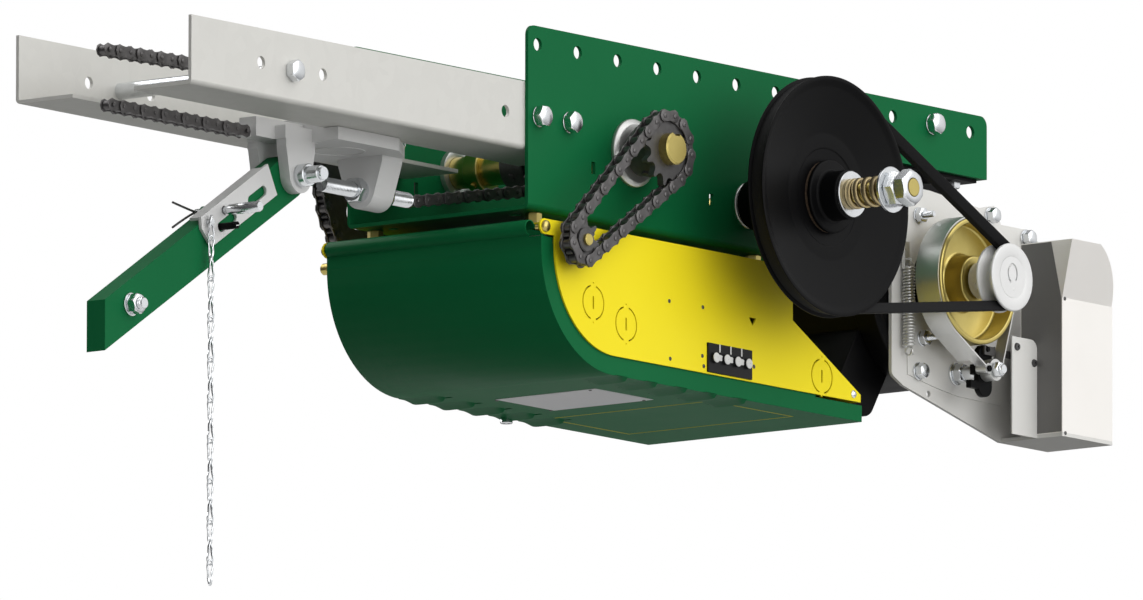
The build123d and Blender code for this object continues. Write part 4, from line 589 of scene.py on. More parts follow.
def chain(pins, y_middle, closed=False, first_inner=True, no_roller=()):
    """A roller chain through pin places (x, z): plates in two layers, rollers and riveted pins."""
    pins = np.array(pins, float)
    ahead = np.roll(pins, -1, 0) if closed else pins[1:]
    here = pins if closed else pins[:-1]
    middle, run = (here + ahead) / 2, ahead - here
    run /= np.linalg.norm(run, axis=1)[:, None]
    spots = np.stack([middle[:, 0], np.full(len(middle), float(y_middle)), middle[:, 1]], -1)
    along = np.stack([run[:, 0], np.zeros(len(run)), run[:, 1]], -1)
    parts = []
    for layer, reach in ((0, 3.85), (1, 5.15)):
        start = layer if first_inner else 1 - layer
        for side in (-1, 1):
            parts.append(copies(link_plate(side * reach), spots[start::2], along[start::2]))
    pin_spots = np.stack([pins[:, 0], np.full(len(pins), float(y_middle)), pins[:, 1]], -1)
    rivet = turned([(1.2, -6.5), (1.9, -6.2), (1.9, 6.2), (1.2, 6.5)], local, 10)
    parts.append(copies(rivet, pin_spots, (1, 0, 0)))
    kept = [i for i in range(len(pins)) if i not in no_roller]
    wide, narrow = ROLLER / 2, ROLLER / 2 - 0.4
    roller = turned([(narrow, -3.15), (wide, -2.9), (wide, 2.9), (narrow, 3.15)], local, 16)
    if kept:
        parts.append(copies(roller, pin_spots[kept], (1, 0, 0)))
    return parts


def between(start, end, count):
    """The points that part a straight stretch into count equal runs, its ends left out."""
    share = np.arange(1, count)[:, None] / count
    return np.array(start) + share * (np.array(end) - np.array(start))


def loop_drive(teeth_a, seats_a, teeth_b, seats_b, links):
    """Pin places of a closed chain on two sprockets, the first at (0, 0) and the second on +X.

    The second lies at the distance that makes both straight runs a whole number of pitches long.
    """
    ra, rb = pitch_radius(teeth_a), pitch_radius(teeth_b)
    half_a, half_b = (seats_a - 1) * np.pi / teeth_a, (seats_b - 1) * np.pi / teeth_b
    straight = (links - seats_a - seats_b) // 2 + 1
    rise = ra * np.sin(half_a) - rb * np.sin(half_b)
    centre = np.sqrt((straight * CHAIN_PITCH) ** 2 - rise ** 2) - ra * np.cos(half_a) - rb * np.cos(half_b)
    at_a = np.pi - half_a + np.arange(seats_a) * TURN / teeth_a
    at_b = -half_b + np.arange(seats_b) * TURN / teeth_b
    on_a = np.stack([ra * np.cos(at_a), ra * np.sin(at_a)], -1)
    on_b = np.stack([centre + rb * np.cos(at_b), rb * np.sin(at_b)], -1)
    return np.concatenate([on_a, between(on_a[-1], on_b[0], straight), on_b,
                           between(on_b[-1], on_a[0], straight)])


def swung(points, axis, degrees):
    """Points turned about the origin and moved to an axis."""
    c, s = np.cos(np.radians(degrees)), np.sin(np.radians(degrees))
    return np.stack([axis[0] + c * points[:, 0] - s * points[:, 1],
                     axis[1] + s * points[:, 0] + c * points[:, 1]], -1)


SEAT_RADIUS = 4.1
TOOTH_HALF_WIDTH = 2.9


def tooth_outline(teeth, seat_degrees):
    """A sprocket's rim: round roller seats on the pitch circle, straight flanks and blunt tips."""
    radius = pitch_radius(teeth)
    swing = np.radians(58)
    seat = np.linspace(-swing, swing, 7)
    rows = []
    for i in range(teeth):
        middle = np.radians(seat_degrees) + i * TURN / teeth
        inward = middle + np.pi + seat[::-1]
        pocket = np.stack([radius * np.cos(middle) + SEAT_RADIUS * np.cos(inward),
                           radius * np.sin(middle) + SEAT_RADIUS * np.sin(inward)], -1)
        tip = middle + TURN / teeth / 2 + np.array([-1.3, -0.5, 0.5, 1.3]) / radius
        reach = radius + np.array([2.2, 2.85, 2.85, 2.2])
        rows += [pocket, np.stack([reach * np.cos(tip), reach * np.sin(tip)], -1)]
    return np.concatenate(rows)


def tooth_wheel(axis, y_middle, teeth, seat_degrees, bore, holes=()):
    """The toothed plate of a sprocket, centred on its chain's plane."""
    rim = tooth_outline(teeth, seat_degrees)
    return slab(rim, y_middle - TOOTH_HALF_WIDTH, y_middle + TOOTH_HALF_WIDTH, on_shaft(axis),
                [circle(0, 0, bore), *holes])


def hub_ring(axis, y_low, y_high, radius, bore, edge=0.8):
    """A turned hub with broken edges and a bore."""
    profile = [(bore, y_low), (radius - edge, y_low), (radius, y_low + edge), (radius, y_high - edge),
               (radius - edge, y_high), (bore, y_high)]
    return turned(profile, on_shaft(axis), 64, ring=True)


def set_screw(axis, y, radius, turn_degrees, size=3.4):
    """A square or hex socket screw standing a little out of a hub."""
    turn = np.radians(turn_degrees)
    out = np.array([np.cos(turn), 0.0, np.sin(turn)])
    spot = np.array([[axis[0], y, axis[1]]]) + out * radius
    screw = turned([(0.6 * size, 2.2), (size, 1.8), (size, -1.5)], local, 6)
    return copies(screw, spot, (-out[2], 0, out[0]), out)


# Trolley drive chain and its sprocket

LOWER_RUN = DRIVE[1] - pitch_radius(DRIVE_TEETH)
REAR_LINKS = 13
TAKE_UP_Z = -120.2
TAKE_UP = (DRIVE[0] - np.sqrt((REAR_LINKS * CHAIN_PITCH) ** 2 - (LOWER_RUN - TAKE_UP_Z) ** 2), TAKE_UP_Z)
FRONT_PIN = -535.5
CHAIN_CUT = -716.0
SPACER = (-582.8, -58.4)
SPACER_RADIUS = 6.5


def drive_chain_runs():
    """Pin places of the upper, rear and front runs of the trolley chain.

    The upper run lies half round the drive sprocket, rises to clear the spacer tube and goes on to its
    cut end.
    """
    seat = np.radians(90 - np.arange(DRIVE_TEETH // 2 + 1) * 360 / DRIVE_TEETH)
    wrap = np.array(DRIVE) + pitch_radius(DRIVE_TEETH) * np.stack([np.cos(seat), np.sin(seat)], -1)
    rear = np.concatenate([wrap[-1:], between(wrap[-1], TAKE_UP, REAR_LINKS), [TAKE_UP]])
    clearance = 0.3
    bend = np.array([SPACER[0] + 4, SPACER[1] + SPACER_RADIUS + LINK_HALF_HEIGHT + clearance])
    count = int((DRIVE[0] - SPACER[0]) // CHAIN_PITCH)
    run = (bend - wrap[0]) / np.linalg.norm(bend - wrap[0]) * CHAIN_PITCH
    near = wrap[0] + np.arange(1, count + 1)[:, None] * run
    tail_count = int((near[-1][0] - CHAIN_CUT) // CHAIN_PITCH)
    sag = -0.022
    tail = near[-1] + np.arange(1, tail_count + 1)[:, None] * np.array([-1, sag]) * CHAIN_PITCH
    upper = np.concatenate([tail[::-1], near[::-1], wrap])
    front_count = 2 * int((FRONT_PIN - CHAIN_CUT) // CHAIN_PITCH // 2) - 1
    front = np.stack([FRONT_PIN - np.arange(front_count + 1) * CHAIN_PITCH,
                      np.full(front_count + 1, LOWER_RUN)], -1)
    return upper, rear, front


def trolley_chains():
    """The three runs of the trolley's chain, their plate layers following on from one run to the next."""
    upper, rear, front = drive_chain_runs()
    rear_starts_inner = len(upper) % 2 == 1
    runs = [("chain_upper_run", chain(upper, TROLLEY_PLANE), "frame", "drive_chain_upper"),
            ("chain_rear_run", chain(rear, TROLLEY_PLANE, first_inner=rear_starts_inner,
                                     no_roller=(0, len(rear) - 1)), "frame", "drive_chain_rear"),
            ("chain_front_run", chain(front, TROLLEY_PLANE, no_roller=(0,)), "trolley", "drive_chain_front")]
    for name, links, body, node in runs:
        piece(name, links, CHAIN_STEEL, body, node)


def sprockets():
    """The five toothed wheels, each a plate on a turned hub, and the two closed chains that join four.

    A closed chain seats an even number of rollers on each of its wheels, so a tooth's middle lies on the
    line through both axes, on the side turned away from the other wheel.
    """
    bore, pinion_bore, limit_bore = 12.7, 9.5, 4.75
    lightening = [circle(52 * np.cos(a), 52 * np.sin(a), 13) for a in TURN * np.arange(5) / 5]
    wheels = [
        ("trolley_drive_sprocket", "drive_line", "drive_sprocket",
         [tooth_wheel(DRIVE, TROLLEY_PLANE, DRIVE_TEETH, 90, bore), hub_ring(DRIVE, -6.1, 6.1, 13.8, bore),
          hub_ring(DRIVE, 6.1, 28.1, 19, bore), set_screw(DRIVE, 18, 19, 215)]),
        ("limit_drive_wheel", "drive_line", "limit_drive_sprocket",
         [tooth_wheel(DRIVE, LIMIT_PLANE, LIMIT_DRIVE_TEETH, 180 + LIMIT_RUN + 180 / LIMIT_DRIVE_TEETH, bore),
          hub_ring(DRIVE, -119.1, -96.8, 19, bore), set_screw(DRIVE, -108, 19, 250)]),
        ("limit_wheel", "limit_line", "limit_sprocket",
         [tooth_wheel(LIMIT, LIMIT_PLANE, LIMIT_TEETH, LIMIT_RUN + 180 / LIMIT_TEETH, limit_bore),
          hub_ring(LIMIT, -127.9, -110.8, 9.6, limit_bore), set_screw(LIMIT, -126, 9.6, 30, 1.6)]),
        ("reduction_wheel", "drive_line", "reduction_sprocket",
         [tooth_wheel(DRIVE, FAR_PLANE, WHEEL_TEETH, 180 + FAR_RUN + 180 / WHEEL_TEETH, bore, lightening),
          hub_ring(DRIVE, 96.8, 150.1, 24, bore), set_screw(DRIVE, 130, 24, 200)]),
        ("reduction_pinion", "clutch_line", "clutch_sprocket",
         [tooth_wheel(CLUTCH, FAR_PLANE, PINION_TEETH, FAR_RUN + 180 / PINION_TEETH, pinion_bore),
          hub_ring(CLUTCH, 93.0, 150.1, 13.8, pinion_bore)])]
    for name, body, node, parts in wheels:
        piece(name, parts, BLACK_STEEL, body, node)
    limit_loop = swung(loop_drive(LIMIT_DRIVE_TEETH, 8, LIMIT_TEETH, 4, 32), DRIVE, LIMIT_RUN)
    far_loop = swung(loop_drive(WHEEL_TEETH, 28, PINION_TEETH, 4, 52), DRIVE, FAR_RUN)
    for name, pins, plane, node in (("limit_roller_chain", limit_loop, LIMIT_PLANE, "limit_chain"),
                                    ("reduction_roller_chain", far_loop, FAR_PLANE, "reduction_chain")):
        piece(name, chain(pins, plane, closed=True), CHAIN_STEEL, "frame", node)


# Shafts and bearings

def keyed_shaft():
    """The drive shaft: ground and gold plated, its near end faced, chamfered and cut for a key."""
    steps = 72
    angle = np.arange(steps) * TURN / steps
    radius = 12.7
    key = np.abs(radius * np.cos(angle)) < 3.3
    key &= np.sin(angle) > 0
    cut = np.where(key, (radius - 3.0) / np.maximum(np.sin(angle), 0.3), radius)
    rows = [(-133.6, np.minimum(cut, radius - 1.2)), (-132.4, cut), (-109.7, cut),
            (-109.6, np.full(steps, radius)), (160.7, np.full(steps, radius)),
            (161.9, np.full(steps, radius - 1.2))]
    y = np.array([r[0] for r in rows])[:, None]
    reach = np.array([r[1] for r in rows])
    shaft = skin(on_shaft(DRIVE)(reach * np.cos(angle), reach * np.sin(angle), y))
    collars = [hub_ring(DRIVE, low, low + 14, 17, 12.7) for low in (-62, 52)]
    screws = [set_screw(DRIVE, low + 7, 17, 230, 2.6) for low in (-62, 52)]
    piece("keyed_drive_shaft", [shaft, *collars, *screws], YELLOW_ZINC, "drive_line", "drive_shaft")


def flange_bearings():
    """Self-aligning bearings in pressed rings: a domed flange outside and a hub through the sheet."""
    parts = []
    for axis, wall, inside, flange, thick, hub, bore in (
            (DRIVE, FRAME_SIDE, FRAME_INSIDE, 26.8, 7.5, 18.9, 12.72),
            (CLUTCH, FRAME_SIDE, FRAME_INSIDE, 18.4, 3.7, 13.9, 9.52),
            (LIMIT, BOX_SIDE, BOX_SIDE - BOX_SHEET, 9.0, 3.0, 6.9, 4.77)):
        for way in (-1, 1):
            ring = [(bore, wall + thick), (hub * 0.78, wall + thick), (hub * 0.82, wall + thick * 0.8),
                    (hub * 0.95, wall + thick * 0.72), (flange * 0.86, wall + thick * 0.72),
                    (flange, wall + thick * 0.4), (flange, wall), (hub, wall), (hub, inside - 4),
                    (bore, inside - 4)]
            ring = rounded(ring, 0.7, 3, closed=True)
            parts.append(turned([(r, way * y) for r, y in ring], on_shaft(axis), 64, ring=True))
    piece("flanged_bearings", parts, BEARING_STEEL, "frame", "shaft_bearings")


def limit_screw():
    """The limit shaft: a full-length thread for the travelling nuts between plain ends."""
    carry = on_shaft(LIMIT)
    parts = [turned([(4.0, -130.5), (4.7, -129.8), (4.7, -104)], carry, 32),
             threaded(4.7, -104, 104, 2.1, carry, 24),
             turned([(4.7, 104), (4.7, 110.8), (6.6, 110.8), (7.0, 111.2), (7.0, 113.4), (6.6, 113.8),
                     (4.6, 113.8), (4.6, 131.6), (3.9, 132.4)], carry, 32)]
    piece("limit_screw", parts, YELLOW_ZINC, "limit_line", "limit_shaft")


# Clutch, belt and motor drive

def clutch_stack():
    """The clutch from the frame outwards: drive flange, V-pulley, front hub, washers, spring, jam nuts."""
    carry = on_shaft(CLUTCH)
    rim = [(13, -162), (60, -162), (70, -162), (80, -160.5), (94.5, -160.5), (94.5, -161.6), (82.5, -165.6),
           (82.5, -169.9), (94.5, -173.9), (94.5, -175), (91.5, -175), (87, -173), (50, -166.6),
           (38.6, -166.6), (38, -166), (13, -166)]
    piece("big_v_pulley", [turned_ring(rim, 1.2, carry, 160, 4)], BLACK_ENAMEL, "clutch_wheel",
          "clutch_pulley")
    shaft = [turned([(8.3, 160.9), (9.5, 159.7), (9.5, -166)], carry, 48),
             turned([(7.7, -166), (7.7, -189)], carry, 40),
             threaded(7.95, -189, -251.6, 2.3, carry, 40)]
    piece("threaded_clutch_shaft", shaft, YELLOW_ZINC, "clutch_line", "clutch_shaft")
    hub = [(9.5, -93), (19, -93), (20, -94), (20, -148), (22, -151), (30, -152.7), (45, -152.7),
           (46, -153.7), (46, -157.7), (45, -158.7), (12.95, -158.7), (12.95, -166), (9.5, -166)]
    piece("clutch_drive_flange", [turned_ring(hub, 0.8, carry, 96)], BLACK_ENAMEL, "clutch_line",
          "clutch_drive_hub")
    front = [(8.0, -168.1), (27.8, -168.1), (28.9, -169), (28.9, -171.2), (27.9, -172), (21, -172),
             (19.4, -173.6), (19.4, -188.3), (18.4, -189.3), (8.0, -189.3)]
    piece("clutch_front_hub", [turned_ring(front, 0.7, carry, 80)], BLACK_ENAMEL, "clutch_line",
          "clutch_pressure_hub")
    washers = [hub_ring(CLUTCH, y, y + 2.8, 18.1, 8.0, 0.5) for y in (-192.1, -230.6)]
    piece("clutch_thrust_washers", washers, BRIGHT_ZINC, "clutch_line", "clutch_washers")
    piece("clutch_load_spring", [load_spring()], GOLD_SPRING, "clutch_line", "clutch_spring")
    nuts = [hexagon_nut(25.4, low, low + 10.3, carry, bore=7.6, turn=t)
            for low, t in ((-240.9, 0.0), (-251.2, 0.35))]
    piece("clutch_jam_nuts", nuts, BRIGHT_ZINC, "clutch_line", "clutch_nuts")


def load_spring():
    """A heavy die spring: a rounded wire wound in a helix whose first and last turns lie flat."""
    turns, high, low, end_gap, radius = 5.0, -192.1, -227.8, 2.6, 10.25
    steps = 200
    share = np.linspace(0, 1, steps)
    angle = share * turns * TURN
    flat = 0.7 / turns
    climb = np.clip((share - flat) / (1 - 2 * flat), 0, 1)
    y = (high - end_gap) + (low - high + 2 * end_gap) * climb
    path = np.stack([CLUTCH[0] + radius * np.cos(angle), y, CLUTCH[1] + radius * np.sin(angle)], -1)
    section = rounded([(-2.55, -1.9), (2.55, -1.9), (2.55, 1.9), (-2.55, 1.9)], 1.7, 4, closed=True)
    outward_from_axis = path - np.stack([np.full(steps, CLUTCH[0]), y, np.full(steps, CLUTCH[1])], -1)
    return tube(path, section, guide=outward_from_axis)


BELT_PLANE = -167.75
BELT_ON_BIG, BELT_ON_SMALL = 92.0, 25.6


def belt_loop(inset, steps=40):
    """Points (x, z) of the belt's loop, inset from its outer face: an arc on each pulley and straights."""
    span = np.hypot(MOTOR[0] - CLUTCH[0], MOTOR[1] - CLUTCH[1])
    turn = np.arctan2(MOTOR[1] - CLUTCH[1], MOTOR[0] - CLUTCH[0])
    lean = np.arcsin((BELT_ON_BIG - BELT_ON_SMALL) / span)
    small = np.linspace(turn - np.pi / 2 + lean, turn + np.pi / 2 - lean, steps)
    big = np.linspace(turn + np.pi / 2 - lean, turn + 1.5 * np.pi + lean, 2 * steps)
    on_small = np.array(MOTOR) + (BELT_ON_SMALL - inset) * np.stack([np.cos(small), np.sin(small)], -1)
    on_big = np.array(CLUTCH) + (BELT_ON_BIG - inset) * np.stack([np.cos(big), np.sin(big)], -1)
    return np.concatenate([on_small, on_big])


def v_belt():
    """A wedge section with rounded shoulders carried round both pulleys."""
    section = [(0.6, 5.5), (0.0, 4.9), (0.0, -4.9), (0.6, -5.5), (7.4, -3.4), (8.0, -2.8), (8.0, 2.8),
               (7.4, 3.4)]
    rows = []
    for inset, y in section:
        line = belt_loop(inset)
        rows.append(np.stack([line[:, 0], np.full(len(line), BELT_PLANE + y), line[:, 1]], -1))
    grid = np.stack(rows)
    piece("rubber_v_belt", [skin(grid, along=True)], BELT, "frame", "v_belt")


def motor_drive():
    """The motor's small V-pulley with its cast mark and set screw, the flatted shaft end, the brake drum."""
    carry = on_shaft(MOTOR)
    shaft_radius = 7.95
    pulley = [(shaft_radius, -142.6), (13.7, -142.6), (14.5, -143.4), (14.5, -158), (15.5, -159.25),
              (26.2, -159.25), (27, -160), (26.9, -161.9), (17.2, -165.2), (17.2, -170.3), (26.9, -173.6),
              (27, -175.4), (26.2, -176.25), (16.5, -176.25), (16.5, -174.95), (shaft_radius, -174.95)]
    recess = np.radians(np.linspace(-48, 250, 30))
    mark = np.concatenate([np.stack([r * np.cos(a), 3 + r * 1.25 * np.sin(a)], -1)
                           for r, a in ((6.6, recess), (5.0, recess[::-1]))])
    face = slab(circle(0, 0, 16.5, 64), -176.2, -174.9, carry, [mark])
    peg_axis = (MOTOR[0] + 1.5, MOTOR[1] - 9.5)
    peg = turned([(1.7, -175.0), (1.7, -176.1), (1.2, -176.3)], on_shaft(peg_axis), 6)
    parts = [turned_ring(pulley, 0.5, carry, 96), face, peg, set_screw(MOTOR, -150, 14.5, 205, 2.8)]
    piece("small_v_pulley", parts, DIE_CAST, "motor_line", "motor_pulley")

    steps, flat_share = 48, 0.86
    angle = np.arange(steps) * TURN / steps
    towards_flat = np.sin(angle + 0.6)
    flat = np.where(towards_flat > flat_share, shaft_radius * flat_share / np.maximum(towards_flat, 0.3),
                    shaft_radius)
    y = np.array([-77, -150, -173.5, -174.9])[:, None]
    reach = np.stack([np.full(steps, shaft_radius), np.full(steps, shaft_radius), flat, flat - 0.9])
    piece("motor_shaft_end", [skin(carry(reach * np.cos(angle), reach * np.sin(angle), y))], BRIGHT_ZINC,
          "motor_line", "motor_shaft")
    cup = [(shaft_radius, -118), (49.6, -118), (50.3, -118.8), (50.3, -142.2), (49.6, -143), (46.8, -143),
           (46.3, -142.4), (46.3, -127.5), (45, -126), (24, -124.4), (22, -125.5), (20.2, -140),
           (19.4, -141), (shaft_radius, -141)]
    piece("pressed_brake_drum", [turned_ring(cup, 0.7, carry, 128)], YELLOW_ZINC, "motor_line", "brake_drum")


def motor_shell():
    """The motor: a die cast end bell with a recessed ring, a rolled shell and a rounded back cap."""
    carry = on_shaft(MOTOR)
    profile = [(8.2, -97), (24, -97), (25, -96), (70, -96), (74, -97), (80.6, -97), (81.4, -96.2),
               (81.4, -77.4), (80.9, -77), (80.2, -76.6), (80.2, 82), (77.4, 82.2), (77.4, 92), (76.4, 96.4),
               (73.4, 99.2), (69.4, 100), (20, 100), (8.2, 100)]
    piece("motor_shell", [turned_ring(profile, 0.6, carry, 128)], BLACK_ENAMEL, "frame", "motor_body")


# Bolts and nuts that come in groups

def flat_washer(bore, radius, thick, carry, steps=40):
    """A washer with broken outer edges, lying on the face where rise is 0."""
    profile = [(bore, 0), (radius - 0.3, 0), (radius, 0.3), (radius, thick - 0.3), (radius - 0.3, thick),
               (bore, thick)]
    return turned(profile, carry, steps, ring=True)


def hex_bolt(way, spot, head_flats, head, washer=0.0, washer_r=0.0, turn=0.0):
    """A bolt head on its washer, standing the named way off a face at spot."""
    carry = facing(way, spot)
    parts = []
    if washer:
        parts.append(turned([(washer_r - 0.3, 0), (washer_r, 0.3), (washer_r, washer - 0.3),
                             (washer_r - 0.3, washer)], carry, 40))
    parts.append(turned([(head_flats * 0.46, washer), (head_flats * 0.46, washer + 0.5)], carry, 32))
    parts.append(hexagon_nut(head_flats, washer + 0.3, washer + head, carry, both=False, turn=turn))
    return parts


def nut_and_end(way, spot, flats, height, shank, stand, pitch=1.5, turn=0.0):
    """A nut run on a threaded end that stands out of it, the named way off a face at spot."""
    carry = facing(way, spot)
    nut = hexagon_nut(flats, 0, height, carry, bore=shank * 0.95, turn=turn)
    end = threaded(shank, -1.0, height + stand, pitch, carry, 28)
    return [nut, end]


RAIL_BOLTS = (-278.1, -240.0)
RAIL_BOLT_Z = -56.5
LAST_HANGER_X = 228.6


def frame_fasteners():
    """The bolts of the rails, of the spacer tube between them and of the frame's last hanger hole."""
    parts = []
    for number, x in enumerate(RAIL_BOLTS):
        for way, back, sign in (("near", "far", -1), ("far", "near", 1)):
            parts += hex_bolt(way, (x, sign * FRAME_SIDE, RAIL_BOLT_Z), 15, 7, 1.2, 8.2, turn=0.3 * number)
            parts += nut_and_end(back, (x, sign * RAIL_INSIDE, RAIL_BOLT_Z), 13, 6.5, 4.0, 1.0)
    parts += hex_bolt("near", (SPACER[0], -FRAME_INSIDE, SPACER[1]), 15, 7, turn=0.5)
    parts += nut_and_end("far", (SPACER[0], FRAME_INSIDE, SPACER[1]), 13, 6.5, 4.0, 2.0)
    parts.append(turned([(4.0, -FRAME_INSIDE), (4.0, FRAME_INSIDE)], on_shaft(SPACER), 24))
    parts += hex_bolt("near", (LAST_HANGER_X, -FRAME_SIDE, 0), 15, 7, 1.2, 8.2, turn=0.2)
    parts += nut_and_end("far", (LAST_HANGER_X, -FRAME_INSIDE, 0), 13, 6.5, 4.4, 1.0)
    piece("frame_hex_bolts", parts, BRIGHT_ZINC, "frame", "frame_bolts")


PAD_RISE = 1.0
STUDS = ((195.7, -77.7), (200.8, -174.8))
CRADLE_BOLTS = tuple((x, y) for x in (160, 276) for y in (-72, 72))
CRADLE_UNDERSIDE, FLOOR_UNDERSIDE, FLOOR_TOP = -38.6, -35.6, -32.6
PLATE_BOLTS = ((290.0, -66.7, 0.0), (337.2, -79.0, 0.0), (194.4, -202.0, PAD_RISE))


def motor_end_fasteners():
    """The motor cradle's four bolts, the bracket's studs and bolts, and the brake lever's pivot bolt."""
    parts = []
    for x, y in CRADLE_BOLTS:
        parts += hex_bolt("down", (x, y, CRADLE_UNDERSIDE), 13, 5.5)
        parts.append(turned([(4.0, -2.5), (4.0, 9)], facing("up", (x, y, FLOOR_UNDERSIDE)), 20))
        parts.append(hexagon_nut(13, 0, 6.5, facing("up", (x, y, FLOOR_TOP)), bore=3.8))
    for x, z in STUDS:
        carry = facing("near", (x, BRACKET_FRONT, z))
        parts.append(flat_washer(2.6, 6.5, 1.5, carry, 36))
        parts.append(hexagon_nut(11, 1.5, 6.5, carry, bore=2.5))
        parts.append(threaded(2.6, -1, 16, 1.1, carry, 24))
    for x, z, rise in PLATE_BOLTS:
        parts += hex_bolt("near", (x, BRACKET_FRONT - rise, z), 11, 6, 1.5, 7.0, turn=0.4)
    carry = facing("near", (LEVER[0], BRACKET_FRONT - PAD_RISE, LEVER[1]))
    parts.append(turned([(4, 0), (8.7, 0), (9, 0.3), (9, 1.7), (8.7, 2)], carry, 40))
    parts.append(hexagon_nut(14, 2, 10, carry, turn=0.2))
    parts.append(turned([(5.5, 9.5), (5.5, 24.6)], carry, 32))
    parts.append(turned([(4.0, 24), (4.0, 45)], carry, 28))
    parts.append(hexagon_nut(11, 40.8, 45.8, carry, bore=3.8))
    parts.append(threaded(4.0, 45, 48.5, 1.2, carry, 28))
    piece("motor_end_bolts", parts, BRIGHT_ZINC, "frame", "motor_fasteners")


def box_fasteners():
    """The hexagons on the box's lips under the chassis, and the two hinge screws of its cover."""
    parts = [hexagon_nut(11.0, 0.1, 9.6, facing("up", (x, y, BOX_TOP)))
             for x in (-270, 10) for y in (-78, 78)]
    head = [(4.3, 0), (4.6, 0.3), (4.6, 1.4), (3.9, 2.6), (2.2, 3.4), (0.8, 3.5)]
    for way, y in (("near", -BOX_SIDE), ("far", BOX_SIDE)):
        carry = facing(way, (HINGE[0], y, HINGE[1]))
        parts.append(turned(head, carry, 36))
        parts.append(turned([(2.4, -8), (2.4, 0.5)], carry, 20))
    piece("box_screws", parts, YELLOW_ZINC, "frame", "box_fasteners")


# Brake

def brake_parts():
    """The finishes of the brake's model pieces, and the pieces of it that are shaped here."""
    for node, finish, round_off in (
            ("brake_lever", BLACK_ENAMEL, 0.5), ("solenoid_plunger", BLACK_STEEL, 0.2),
            ("brake_solenoid", BLACK_PLASTIC, 0.8), ("brake_bracket", GREY_PAINT, 0.4),
            ("brake_band", BEARING_STEEL, 0.0), ("solenoid_cover", BRIGHT_SHEET, 0.5)):
        finish_node(node, finish, round_off)
    cover_tab()
    # painted shade: a dark sheet laid on the cover's shaded left side
    painted_shade_flank()
    piece("brake_return_spring", return_spring(), BEARING_STEEL, "frame", "brake_spring")


COVER_LEFT, COVER_NEAR = 304.0, -161.0


def cover_tab():
    """A folded tab of the solenoid cover that screens the plunger's end, its screws and the cover's two.

    Its outline is a rectangle whose top right corner is a quarter round.
    """
    face = -136.4
    corner = np.linspace(0, np.pi / 2, 8)
    top = np.stack([296 + 8 * np.cos(corner), -176 + 8 * np.sin(corner)], -1)
    outline = np.concatenate([[(271, -246), (COVER_LEFT, -246)], top, [(271, -168)]])
    tab = slab(outline, face, face + 1.5, upright)
    piece("cover_screen_tab", [tab], GREY_PAINT, "frame", soft=0.3)
    ring = [(0.9, 0), (3.0, 0.0), (3.2, 0.4), (2.6, 1.6), (0.9, 1.8)]
    screws = [turned(ring, facing("near", (x, face, z)), 20, ring=True)
              for x, z in ((299.5, -186.5), (277.0, -176.0))]
    dots = [turned([(1.6, -0.3), (1.6, 0.25), (1.1, 0.5)], facing("near", (x, COVER_NEAR, z)), 14)
            for x, z in ((307.4, -136.2), (308.0, -243.4))]
    piece("cover_tab_screws", screws + dots, BLACK_STEEL, "frame")


def painted_shade_flank():
    """Painted shade: a dark grey sheet on the bright cover's shaded left side, its profile in y and z less
    the rim.
    """
    outline = [(-121, -242.4), (-160.2, -242.4), (-160.2, -136.0), (-150.4, -90.4), (-121, -90.4)]
    rod_hole = circle(-128.0, -181.8, 4.5, 24)
    sheet = slab(outline, COVER_LEFT - 0.4, COVER_LEFT + 0.1,
                 lambda across, up, along: np.stack([along, across, up], -1), [rod_hole])
    piece("painted_shade_cover_side_sheet", [sheet], SHADE_PAINTED_FLANK_SHEET, "frame")


def return_spring():
    """A close-wound extension spring with hooks, and the folded tab that it hangs from.

    The coil is a helix about an upright line, each hook a little over half a circle, and the tab's two
    leaves are flat.
    """
    x, y, low, high = 175.2, -106.5, -185.3, -121.9
    turns, coil_radius, hook_radius, half_tab = 26, 4.3, 3.2, 3.0
    share = np.linspace(0, 1, turns * 12)
    angle = share * turns * TURN
    helix = [x + coil_radius * np.cos(angle), y + coil_radius * np.sin(angle), low + (high - low) * share]
    coil = tube(np.stack(helix, -1), wire(0.85, 8), guide=(0.3, 0.2, 1.0))
    bend = np.linspace(-0.5, 1.1, 14) * np.pi
    top = np.stack([x + 0 * bend, y + hook_radius * np.cos(bend), high + 3.5 + hook_radius * np.sin(bend)],
                   -1)
    hook = tube(top, wire(0.85, 8), guide=(1, 0, 0))
    low_hook = tube(top * (1, 1, -1) + (0, 0, low + high), wire(0.85, 8), guide=(1, 0, 0))

    def leaf(reach, bottom, top_face, holes=()):
        """One leaf of the tab, from reach back to the bracket."""
        outline = rectangle(-half_tab, reach, half_tab, -101.5)
        return slab(outline, bottom, top_face, lambda a, b, rise: np.stack([x + a, rise + 0 * a, b], -1),
                    holes)

    return [coil, hook, low_hook, leaf(-122.5, -105, -101.8, [circle(0, -118.6, 1.6, 16)]),
            leaf(-110, -103, -100)]


# Trolley, arm and latch

def on_arm(u, v):
    """A point (x, z) u along the door arm from its pivot and v across it."""
    c, s = np.cos(ARM_SLOPE), np.sin(ARM_SLOPE)
    return ARM_PIVOT[0] - u * c - v * s, ARM_PIVOT[1] - u * s + v * c


